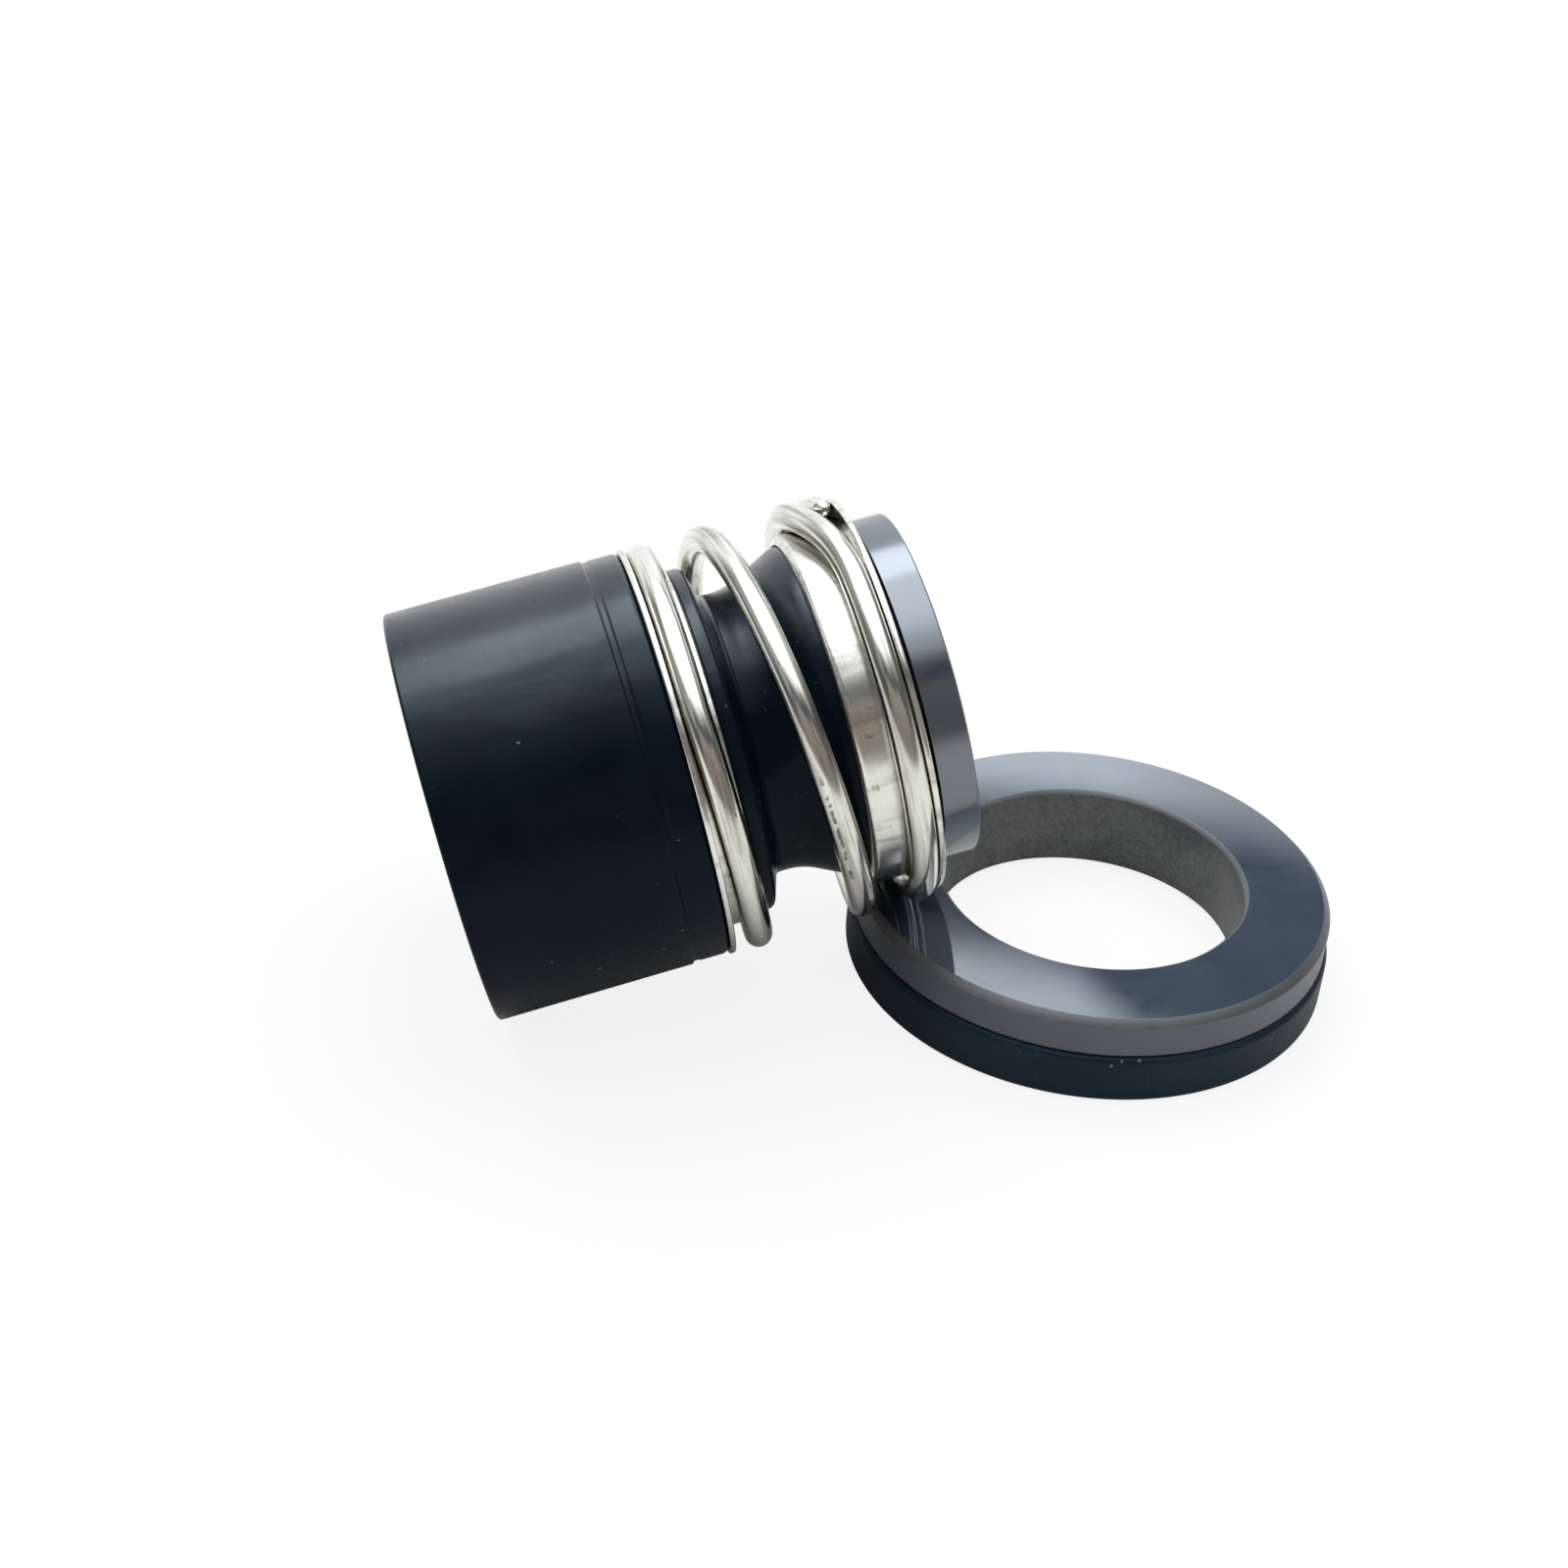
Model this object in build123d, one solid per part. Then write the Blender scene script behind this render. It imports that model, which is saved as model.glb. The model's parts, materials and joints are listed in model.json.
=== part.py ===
from build123d import *
import math
import os

# Rubber-bellows mechanical shaft seal for a 20 mm shaft, laid out as a loose pair: the rotary
# head lies on the rim of its rubber tail and leans with its last coil on the stationary seat,
# which lies flat with its lapped face up.
#
# Row frame: +Z up, the head's axis in the XZ plane and rising towards +X, origin on the
# resting surface under the middle of the pair. All lengths are in millimetres.
#
# Every ring of the head is turned in the head's own frame: +Z is the shaft axis from the free
# rim of the tail towards the lapped face, and +X is the side that ends up underneath.
# A station is a distance along that axis from the tail's free rim.

# ---- Shaft and rubber bellows ----------------------------------------------------------------
SHAFT_DIAMETER = 20.0
SHAFT_LEAD_IN = 0.8          # chamfer at the tail's mouth that finds the shaft
TAIL_WALL = 6.5              # rubber of the tail, from the shaft out
TAIL_LENGTH = 18.75          # free rim to the tail collar's flange
TAIL_RIM_RADIUS = 0.3
TAIL_SHOULDER_RADIUS = 0.5   # rounding of the tail's edge beside the collar's flange
GROOVE_FROM_COLLAR = 3.0     # far edge of the moulded groove, measured back from the flange
GROOVE_WIDTH = 0.7
GROOVE_DEPTH = 0.2
TAIL_LAND_DROP = 0.12        # the land beside the collar is this much smaller in radius
NECK_BORE_CLEARANCE = 0.3    # the flexing neck stands off the shaft
NECK_WALL = 1.1
FOLD_DROP = 0.4              # the fold is this much smaller in radius than the collar legs
FOLD_WIDTH = 1.1             # how far the rubber fold stands out past the tail collar's leg
FOLD_WALL = 1.5
NECK_LENGTH = 2.25           # straight stretch between the fold and the flare
FLARE_SETBACK = 0.3          # the flare ends this far behind the drive collar's rolled edge
HOOK_DEPTH = 0.8             # rubber shoulder that the drive collar's rolled edge hooks behind

# ---- Pressed sheet collars -------------------------------------------------------------------
SHEET_THICKNESS = 0.5
COLLAR_STANDOFF = 4.4        # outside of both collar legs, which centre the spring, off the shaft
COLLAR_EDGE_RADIUS = 0.18
TAIL_FLANGE_PROUD = 0.05     # flange rim beyond the tail's rubber
TAIL_LEG_LENGTH = 3.2
DRIVE_FLANGE_WIDTH = 1.7
DRIVE_LEG_LENGTH = 5.35
DRIVE_CURL_RADIUS = 0.9      # rolled edge of the drive collar's leg
COLLAR_RUBBER_GAP = 0.1      # drive collar to the rubber it slides with

# ---- Spring ----------------------------------------------------------------------------------
WIRE_DIAMETER = 2.2
SPRING_LEG_CLEARANCE = 0.1
SPRING_FREE_LENGTH = 16.55   # between the two flanges
FLANGE_CLEARANCE = 0.03
ACTIVE_TURNS = 1.75          # turns over which the wire climbs
TAIL_END_TURNS = 0.46        # closed coil against the tail collar
FACE_END_TURNS = 1.05        # closed coil against the drive collar
END_PITCH_SHARE = 0.5        # pitch where the climb starts and ends, over its mean pitch
STEP_TURNS = 0.15            # turns over which the wire steps up past its own end
STEP_CLEARANCE = 0.05        # the closed coil off the coil under it
WIRE_START_ANGLE = 62.0      # where the wire begins, from underneath, the way the coil climbs
POINTS_PER_TURN = 24

# ---- Rotating face ring ----------------------------------------------------------------------
FACE_OVERHANG = 1.25         # the ring's head stands this much proud of its stem
FACE_BORE_CLEARANCE = 1.0    # the ring's bore stands off the shaft
FACE_PROUD = 2.9             # lapped face to the rubber edge behind it
FACE_EDGE_BREAK = 0.12
FACE_STEM_LENGTH = 5.2       # the part of the ring held in the rubber pocket
FACE_RUBBER_GAP = 0.1
POCKET_WALL = 1.0
POCKET_LIP = 0.5             # rubber edge standing out of the drive collar's flange
POCKET_BACK_WALL = 1.6

# ---- Stationary seat -------------------------------------------------------------------------
SEAT_DIAMETER = 40.0
SEAT_HEIGHT = 7.7
SEAT_TOP_CHAMFER = 0.6
SEAT_LOWER_EDGE = 0.2
SEAT_BORE_CLEARANCE = 2.8    # the seat's bore stands off the shaft
SEAT_BORE_CHAMFER = 0.35
SEAT_SHOULDER_HEIGHT = 4.3   # underside of the seat's rim, which sits on the rubber
NOSE_FLOOR_CLEARANCE = 0.25
GASKET_PROUD = 0.33          # rubber beyond the seat's rim, squeezed by the housing
GASKET_WALL = 2.9
GASKET_CORNER_RADIUS = 0.6

# ---- How the pair lies -----------------------------------------------------------------------
REST_GAP = 0.06              # wire off the seat's top and off its edge
SEAT_SIDE_OFFSET = -4.33     # seat centre off the head's axis plane, along Y

# ---- Sizes that follow -----------------------------------------------------------------------
shaft_radius = SHAFT_DIAMETER / 2
tail_radius = shaft_radius + TAIL_WALL
wire_radius = WIRE_DIAMETER / 2
collar_leg_radius = shaft_radius + COLLAR_STANDOFF
collar_bore_radius = collar_leg_radius - SHEET_THICKNESS
coil_radius = collar_leg_radius + SPRING_LEG_CLEARANCE + wire_radius
drive_flange_radius = collar_leg_radius + DRIVE_FLANGE_WIDTH
neck_outer_radius = shaft_radius + NECK_BORE_CLEARANCE + NECK_WALL
fold_outer_radius = collar_leg_radius - FOLD_DROP
hook_radius = collar_leg_radius - HOOK_DEPTH
pocket_radius = collar_bore_radius - COLLAR_RUBBER_GAP
stem_bore_radius = pocket_radius - POCKET_WALL
stem_radius = stem_bore_radius - FACE_RUBBER_GAP
face_radius = stem_radius + FACE_OVERHANG
tail_flange_front = TAIL_LENGTH + SHEET_THICKNESS
tail_leg_end = TAIL_LENGTH + TAIL_LEG_LENGTH
drive_flange_back = tail_flange_front + SPRING_FREE_LENGTH
drive_flange_front = drive_flange_back + SHEET_THICKNESS
first_coil_station = tail_flange_front + FLANGE_CLEARANCE + wire_radius
last_coil_station = drive_flange_back - FLANGE_CLEARANCE - wire_radius
drive_leg_start = drive_flange_front - DRIVE_LEG_LENGTH
pocket_end = drive_flange_front + POCKET_LIP
face_back = pocket_end + FACE_RUBBER_GAP
face_front = face_back + FACE_PROUD
stem_back = face_back - FACE_STEM_LENGTH
face_bore_radius = shaft_radius + FACE_BORE_CLEARANCE
seat_radius = SEAT_DIAMETER / 2
seat_corner_radius = seat_radius - SEAT_TOP_CHAMFER
seat_bore_radius = shaft_radius + SEAT_BORE_CLEARANCE
gasket_outer_radius = seat_radius + GASKET_PROUD
seat_nose_radius = gasket_outer_radius - GASKET_WALL
spring_turns = TAIL_END_TURNS + ACTIVE_TURNS + FACE_END_TURNS


def turned(corners):
    """One closed ring, turned from its half section.

    Each corner is (radius, station) or (radius, station, rounding).
    """
    points = [(corner[0], corner[1]) for corner in corners]
    roundings = [corner[2] if len(corner) > 2 else 0 for corner in corners]
    outline = FilletPolyline(*points, radius=roundings, close=True)
    return revolve(Plane.XZ * make_face(outline), Axis.Z)


def bellows():
    """Tail, fold, neck and head pocket of the rubber bellows, moulded in one piece."""
    groove_far = TAIL_LENGTH - GROOVE_FROM_COLLAR
    groove_near = groove_far + GROOVE_WIDTH
    groove_slope = GROOVE_WIDTH / 4
    land_radius = tail_radius - TAIL_LAND_DROP
    fold_start = tail_leg_end + COLLAR_RUBBER_GAP
    fold_end = fold_start + FOLD_WIDTH
    neck_start = fold_end + (fold_outer_radius - neck_outer_radius) / 3
    neck_end = neck_start + NECK_LENGTH
    neck_bore = shaft_radius + NECK_BORE_CLEARANCE
    flare_end = drive_leg_start - FLARE_SETBACK
    hook_front = drive_leg_start + DRIVE_CURL_RADIUS + COLLAR_RUBBER_GAP
    pocket_floor = stem_back - FACE_RUBBER_GAP
    neck_bore_end = pocket_floor - POCKET_BACK_WALL
    fold_cavity = fold_outer_radius - FOLD_WALL
    seat_lip = (shaft_radius + stem_radius) / 2
    outside = [
        (shaft_radius + SHAFT_LEAD_IN, 0),
        (tail_radius, 0, TAIL_RIM_RADIUS),
        (tail_radius, groove_far),
        (tail_radius - GROOVE_DEPTH, groove_far + groove_slope, groove_slope / 2),
        (tail_radius - GROOVE_DEPTH, groove_near - groove_slope, groove_slope / 2),
        (land_radius, groove_near),
        (land_radius, TAIL_LENGTH, TAIL_SHOULDER_RADIUS),
        (collar_bore_radius, TAIL_LENGTH),
        (collar_bore_radius, fold_start),
        (fold_outer_radius, fold_start + COLLAR_RUBBER_GAP),
        (fold_outer_radius, fold_end, FOLD_WIDTH / 2),
        (neck_outer_radius, neck_start, FOLD_WIDTH / 2),
        (neck_outer_radius, neck_end, 2 * NECK_LENGTH),
        (hook_radius, flare_end, NECK_LENGTH),
        (hook_radius, hook_front),
        (pocket_radius, hook_front),
        (pocket_radius, pocket_end),
    ]
    inside = [
        (stem_bore_radius, pocket_end),
        (stem_bore_radius, pocket_floor),
        (seat_lip, pocket_floor),
        (neck_bore, neck_bore_end),
        (neck_bore, fold_end + FOLD_WALL / 2, FOLD_WIDTH / 4),
        (fold_cavity, fold_end - FOLD_WALL / 2, FOLD_WIDTH / 4),
        (fold_cavity, fold_start, FOLD_WIDTH / 4),
        (shaft_radius, TAIL_LENGTH, FOLD_WIDTH / 4),
        (shaft_radius, SHAFT_LEAD_IN),
    ]
    return turned(outside + inside)


def tail_collar():
    """Pressed collar at the tail: a flange that the spring pushes on, and a short leg."""
    flange_radius = tail_radius + TAIL_FLANGE_PROUD
    return turned(
        [
            (collar_bore_radius, TAIL_LENGTH),
            (flange_radius, TAIL_LENGTH, COLLAR_EDGE_RADIUS),
            (flange_radius, tail_flange_front, COLLAR_EDGE_RADIUS),
            (collar_leg_radius, tail_flange_front),
            (collar_leg_radius, tail_leg_end, COLLAR_EDGE_RADIUS),
            (collar_bore_radius, tail_leg_end, COLLAR_EDGE_RADIUS),
        ]
    )


def drive_collar():
    """Pressed collar at the face: a wide leg with a rolled-in edge, and a thin flange."""
    hook_bore = hook_radius + COLLAR_RUBBER_GAP
    curl_outside = min(DRIVE_CURL_RADIUS, 0.9 * (collar_leg_radius - hook_bore))
    curl_inside = max(curl_outside - SHEET_THICKNESS, 0)
    return turned(
        [
            (hook_bore, drive_leg_start),
            (collar_leg_radius, drive_leg_start, curl_outside),
            (collar_leg_radius, drive_flange_back),
            (drive_flange_radius, drive_flange_back, COLLAR_EDGE_RADIUS),
            (drive_flange_radius, drive_flange_front, COLLAR_EDGE_RADIUS),
            (collar_bore_radius, drive_flange_front),
            (collar_bore_radius, drive_leg_start + SHEET_THICKNESS, curl_inside),
            (hook_bore, drive_leg_start + SHEET_THICKNESS),
        ]
    )


def face_ring():
    """Rotating face ring: a lapped head with a smaller stem held in the rubber."""
    return turned(
        [
            (face_bore_radius, stem_back, 0),
            (stem_radius, stem_back, 0),
            (stem_radius, face_back),
            (face_radius, face_back),
            (face_radius, face_front - FACE_EDGE_BREAK),
            (face_radius - FACE_EDGE_BREAK, face_front),
            (face_bore_radius + FACE_EDGE_BREAK, face_front),
            (face_bore_radius, face_front - FACE_EDGE_BREAK),
        ]
    )


def wire_station(turn):
    """Station of the wire's centre after a number of turns from its start.

    The wire lies on the tail collar, climbs with a pitch that swells and shrinks, and steps up
    past its own end to lie on the drive collar.
    """
    step = WIRE_DIAMETER + STEP_CLEARANCE
    climb = last_coil_station - first_coil_station - step
    climb_share = min(max((turn - TAIL_END_TURNS) / ACTIVE_TURNS, 0), 1)
    step_share = min(max((turn - spring_turns + 1) / STEP_TURNS, 0), 1)
    swell = (1 - END_PITCH_SHARE) * math.sin(2 * math.pi * climb_share) / (2 * math.pi)
    stepped = (1 - math.cos(math.pi * step_share)) / 2
    return first_coil_station + climb * (climb_share - swell) + step * stepped


def wire_point(turn):
    """Centre of the wire in the head's frame after a number of turns from its start."""
    angle = math.radians(WIRE_START_ANGLE + 360 * turn)
    return coil_radius * math.cos(angle), coil_radius * math.sin(angle), wire_station(turn)


def wire_path():
    """Points along the whole wire, in the head's frame."""
    count = math.ceil(spring_turns * POINTS_PER_TURN)
    return [wire_point(spring_turns * index / count) for index in range(count + 1)]


def spring():
    """Right-hand compression spring of round wire with closed ends."""
    path = Spline(*wire_path())
    section = Plane(origin=path @ 0, z_dir=path % 0) * Circle(wire_radius)
    return sweep(section, path=path, is_frenet=False)


def seat_ring():
    """Stationary seat ring: a lapped top, a wide rim and a nose that the gasket grips."""
    return turned(
        [
            (seat_bore_radius, NOSE_FLOOR_CLEARANCE + SEAT_BORE_CHAMFER),
            (seat_bore_radius + SEAT_BORE_CHAMFER, NOSE_FLOOR_CLEARANCE),
            (seat_nose_radius, NOSE_FLOOR_CLEARANCE),
            (seat_nose_radius, SEAT_SHOULDER_HEIGHT),
            (seat_radius - SEAT_LOWER_EDGE, SEAT_SHOULDER_HEIGHT),
            (seat_radius, SEAT_SHOULDER_HEIGHT + SEAT_LOWER_EDGE),
            (seat_radius, SEAT_HEIGHT - SEAT_TOP_CHAMFER),
            (seat_corner_radius, SEAT_HEIGHT),
            (seat_bore_radius + SEAT_BORE_CHAMFER, SEAT_HEIGHT),
            (seat_bore_radius, SEAT_HEIGHT - SEAT_BORE_CHAMFER),
        ]
    )


def seat_gasket():
    """Rubber ring stretched over the seat's nose, under its rim."""
    return turned(
        [
            (seat_nose_radius, 0),
            (gasket_outer_radius, 0, GASKET_CORNER_RADIUS),
            (gasket_outer_radius, SEAT_SHOULDER_HEIGHT, GASKET_CORNER_RADIUS),
            (seat_nose_radius, SEAT_SHOULDER_HEIGHT),
        ]
    )


def head_lean():
    """Angle of the head's axis above the resting surface, in radians.

    The tail's rounded rim stands on the surface, and the last coil lies on the seat's top.
    """
    wire_height = SEAT_HEIGHT + wire_radius + REST_GAP
    along = last_coil_station - TAIL_RIM_RADIUS
    across = tail_radius - TAIL_RIM_RADIUS - coil_radius
    rise = wire_height - TAIL_RIM_RADIUS
    return math.asin(rise / math.hypot(along, across)) - math.atan2(across, along)


def rim_centre_height(lean):
    """Height of the centre of the tail's free rim above the resting surface."""
    standing = (tail_radius - TAIL_RIM_RADIUS) * math.cos(lean)
    return standing + TAIL_RIM_RADIUS * (1 - math.sin(lean))


def seat_distance(lean):
    """Distance along X from the centre of the tail's free rim to the seat's axis.

    The seat stands as near as the wire lets it: wherever the wire is too low to lie on the
    seat's top, it stays clear of both edges of the seat's chamfer.
    """
    reach = wire_radius + REST_GAP
    edges = [
        (seat_corner_radius, SEAT_HEIGHT),
        (seat_radius, SEAT_HEIGHT - SEAT_TOP_CHAMFER),
    ]
    distances = []
    for under, side, station in wire_path():
        along = station * math.cos(lean) + under * math.sin(lean)
        height = rim_centre_height(lean) + station * math.sin(lean) - under * math.cos(lean)
        if height > SEAT_HEIGHT + 0.99 * reach:
            continue
        for edge_radius, edge_height in edges:
            above = min(max(height - edge_height, 0), reach)
            apart = edge_radius + math.sqrt(reach**2 - above**2)
            distances.append(along + math.sqrt(apart**2 - (side - SEAT_SIDE_OFFSET) ** 2))
    return max(distances)


def laid_out():
    """Every piece in the row frame, by node name."""
    lean = head_lean()
    head_place = Location((0, 0, rim_centre_height(lean)), (0, 90 - math.degrees(lean), 0))
    seat_place = Location((seat_distance(lean), SEAT_SIDE_OFFSET, 0))
    pieces = {
        "bellows": head_place * bellows(),
        "tail_collar": head_place * tail_collar(),
        "spring": head_place * spring(),
        "drive_collar": head_place * drive_collar(),
        "face_ring": head_place * face_ring(),
        "seat_ring": seat_place * seat_ring(),
        "seat_gasket": seat_place * seat_gasket(),
    }
    box = Compound(list(pieces.values())).bounding_box()
    to_origin = Location((-box.center().X, -box.center().Y, 0))
    return {name: to_origin * piece for name, piece in pieces.items()}


pieces = laid_out()
os.makedirs("parts", exist_ok=True)
for name, piece in pieces.items():
    export_step(piece, f"parts/{name}.step")
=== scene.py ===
"""Looks of a rubber-bellows mechanical shaft seal, laid out as a loose pair.

The rotary head, which is a rubber bellows, two pressed collars, a coil spring and a carbide face
ring, leans with its last coil on the stationary seat. Every turned piece is built in its own frame,
with Z along its axis, and then placed in the row frame. All lengths are in metres.
"""

import json
import logging
import math
from dataclasses import dataclass
from enum import Enum
from typing import Callable, Dict, List, Optional, Sequence, Tuple

import bmesh
import bpy
from mathutils import Euler, Matrix, Vector


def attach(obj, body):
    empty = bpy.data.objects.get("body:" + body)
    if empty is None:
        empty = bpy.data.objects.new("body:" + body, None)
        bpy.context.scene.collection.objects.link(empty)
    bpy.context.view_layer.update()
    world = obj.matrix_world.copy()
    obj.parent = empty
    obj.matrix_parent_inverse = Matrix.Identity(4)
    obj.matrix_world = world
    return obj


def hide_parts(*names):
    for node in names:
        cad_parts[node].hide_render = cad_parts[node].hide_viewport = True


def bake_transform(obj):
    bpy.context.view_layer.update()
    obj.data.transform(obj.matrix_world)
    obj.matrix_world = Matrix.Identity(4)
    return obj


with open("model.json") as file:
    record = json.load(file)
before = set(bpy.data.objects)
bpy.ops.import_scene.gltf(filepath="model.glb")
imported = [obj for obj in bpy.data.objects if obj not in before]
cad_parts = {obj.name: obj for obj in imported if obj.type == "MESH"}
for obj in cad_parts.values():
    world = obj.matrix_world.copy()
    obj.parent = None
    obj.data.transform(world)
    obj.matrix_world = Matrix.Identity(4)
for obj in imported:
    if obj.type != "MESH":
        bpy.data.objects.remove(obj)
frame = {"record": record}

Colour = Tuple[float, float, float]
Scales = Tuple[float, float, float]
Point = Tuple[float, float, float]
Direction = Tuple[float, float, float]
Span = Tuple[float, float]
Stop = Tuple[float, Colour]
Socket = bpy.types.NodeSocket

LOG = logging.getLogger("shaft_seal")
WIRE_PLACE = "wire_place"
BORE_MIDDLE = 0.009675
STEPS_ROUND = 256
MERGE_DISTANCE = 1e-7
RING_CREASE = math.radians(32.0)
WIRE_CREASE = math.radians(40.0)
PATTERN_MIDDLE = 0.5


def held(value: float) -> float:
    """A value, held between 0 and 1."""
    return min(max(value, 0.0), 1.0)


class Body(Enum):
    """The two bodies that the pieces ride on."""

    TAIL_AND_SEAT = "tail_and_seat"
    FACE_CARRIER = "face_carrier"


class Slot(Enum):
    """Material slots of the record."""

    BELLOWS = "bellows_rubber"
    GASKET = "gasket_rubber"
    COLLARS = "collar_steel"
    SPRING = "spring_steel"
    FACE = "face_carbide"
    SEAT = "seat_carbide"


# ---- Placement and turning ---------------------------------------------------------------------


@dataclass(frozen=True)
class Placement:
    """Where a turned piece's own frame lies in the row frame.

    Attributes:
        origin: The point of station zero on the axis.
        rotation: Turns the piece's own X, Y and Z into the row frame.
    """

    origin: Vector
    rotation: Matrix

    def matrix(self) -> Matrix:
        """The 4x4 matrix from the piece's own frame to the row frame."""
        return Matrix.Translation(self.origin) @ self.rotation.to_4x4()

    def on_axis(self, station: float) -> Vector:
        """The point of the row frame at a station on the axis."""
        return self.origin + self.rotation @ Vector((0.0, 0.0, station))

    def euler(self) -> Euler:
        """The rotation as angles for a Mapping node."""
        return self.rotation.to_euler("XYZ")


def mount_named(name: str) -> Dict[str, object]:
    """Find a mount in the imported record.

    Args:
        name: The mount's name.

    Returns:
        The mount as the record gives it.
    """
    return next(m for m in frame["record"]["mounts"] if m["name"] == name)


def head_placement(bore_middle: float) -> Placement:
    """Frame of the rotary head: Z from the tail's free rim to the lapped face, X underneath.

    Args:
        bore_middle: Station of the shaft bore's middle, where its mount lies.

    Returns:
        The placement, read from the mount of the shaft bore.
    """
    mount = mount_named("shaft_bore")
    axis = -Vector(mount["axis"]).normalized()
    side = Vector((0.0, 1.0, 0.0))
    under = side.cross(axis)
    rotation = Matrix((under, side, axis)).transposed()
    return Placement(Vector(mount["pos_m"]) - axis * bore_middle, rotation)


def seat_placement() -> Placement:
    """Frame of the stationary seat: Z up from the surface that it lies on."""
    centre = Vector(mount_named("seat_bore")["pos_m"])
    return Placement(Vector((centre.x, centre.y, 0.0)), Matrix.Identity(3))


@dataclass(frozen=True)
class Corner:
    """One corner of a half section.

    Attributes:
        radius: Distance from the axis.
        station: Place along the axis.
        rounding: Radius of the rounding there, or zero for a sharp corner.
        segments: Facets across the rounding.
    """

    radius: float
    station: float
    rounding: float = 0.0
    segments: int = 4


def nearest_vertex(mesh: bmesh.types.BMesh, point: Vector) -> bmesh.types.BMVert:
    """The vertex of a mesh that lies nearest to a point."""
    return min(mesh.verts, key=lambda vertex: (vertex.co - point).length_squared)


def round_corner(
    mesh: bmesh.types.BMesh, points: Sequence[Vector], index: int, corner: Corner
) -> None:
    """Round one corner of a flat half section.

    Args:
        mesh: The half section, as one face.
        points: All its corners, in order.
        index: Which of them is rounded.
        corner: Its rounding and segments.
    """
    before, here = points[index - 1], points[index]
    after = points[(index + 1) % len(points)]
    half_angle = (before - here).angle(after - here) / 2
    bmesh.ops.bevel(
        mesh,
        geom=[nearest_vertex(mesh, here)],
        offset=corner.rounding / math.tan(half_angle),
        offset_type="OFFSET",
        segments=corner.segments,
        profile=0.5,
        affect="VERTICES",
        material=-1,
    )


def turned(
    name: str, corners: Sequence[Corner], place: Placement, longest: float = 0.004
) -> bpy.types.Object:
    """Turn a closed half section into a ring.

    Args:
        name: Name of the piece.
        corners: The half section, in order.
        place: Where the ring lies.
        longest: Edges of the half section that are longer than this are divided.

    Returns:
        The ring as a new object at the origin, with its place in its mesh.
    """
    mesh = bmesh.new()
    points = [Vector((corner.radius, 0.0, corner.station)) for corner in corners]
    mesh.faces.new([mesh.verts.new(point) for point in points])
    for index, corner in enumerate(corners):
        if corner.rounding > 0:
            round_corner(mesh, points, index, corner)
    bmesh.ops.delete(mesh, geom=mesh.faces[:], context="FACES_ONLY")
    for edge in [e for e in mesh.edges if e.calc_length() > longest]:
        bmesh.ops.subdivide_edges(mesh, edges=[edge], cuts=int(edge.calc_length() / longest))
    bmesh.ops.spin(
        mesh,
        geom=mesh.verts[:] + mesh.edges[:],
        cent=(0.0, 0.0, 0.0),
        axis=(0.0, 0.0, 1.0),
        dvec=(0.0, 0.0, 0.0),
        angle=math.tau,
        steps=STEPS_ROUND,
        use_merge=True,
        use_duplicate=False,
    )
    bmesh.ops.remove_doubles(mesh, verts=mesh.verts[:], dist=MERGE_DISTANCE)
    bmesh.ops.recalc_face_normals(mesh, faces=mesh.faces[:])
    bmesh.ops.transform(mesh, matrix=place.matrix(), verts=mesh.verts[:])
    return finished(name, mesh, RING_CREASE)


def finished(name: str, mesh: bmesh.types.BMesh, crease: float) -> bpy.types.Object:
    """Make an object of a mesh, smooth between its creases.

    Args:
        name: Name of the piece.
        mesh: The mesh, which is freed.
        crease: Edges that turn by more than this stay sharp.

    Returns:
        The new object.
    """
    data = bpy.data.meshes.new(name)
    mesh.to_mesh(data)
    mesh.free()
    data.shade_smooth()
    data.set_sharp_from_angle(angle=crease)
    piece = bpy.data.objects.new(name, data)
    bpy.context.scene.collection.objects.link(piece)
    weighted = piece.modifiers.new("Flats", "WEIGHTED_NORMAL")
    weighted.mode = "FACE_AREA"
    weighted.keep_sharp = True
    return piece


# ---- Node building -----------------------------------------------------------------------------


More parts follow.
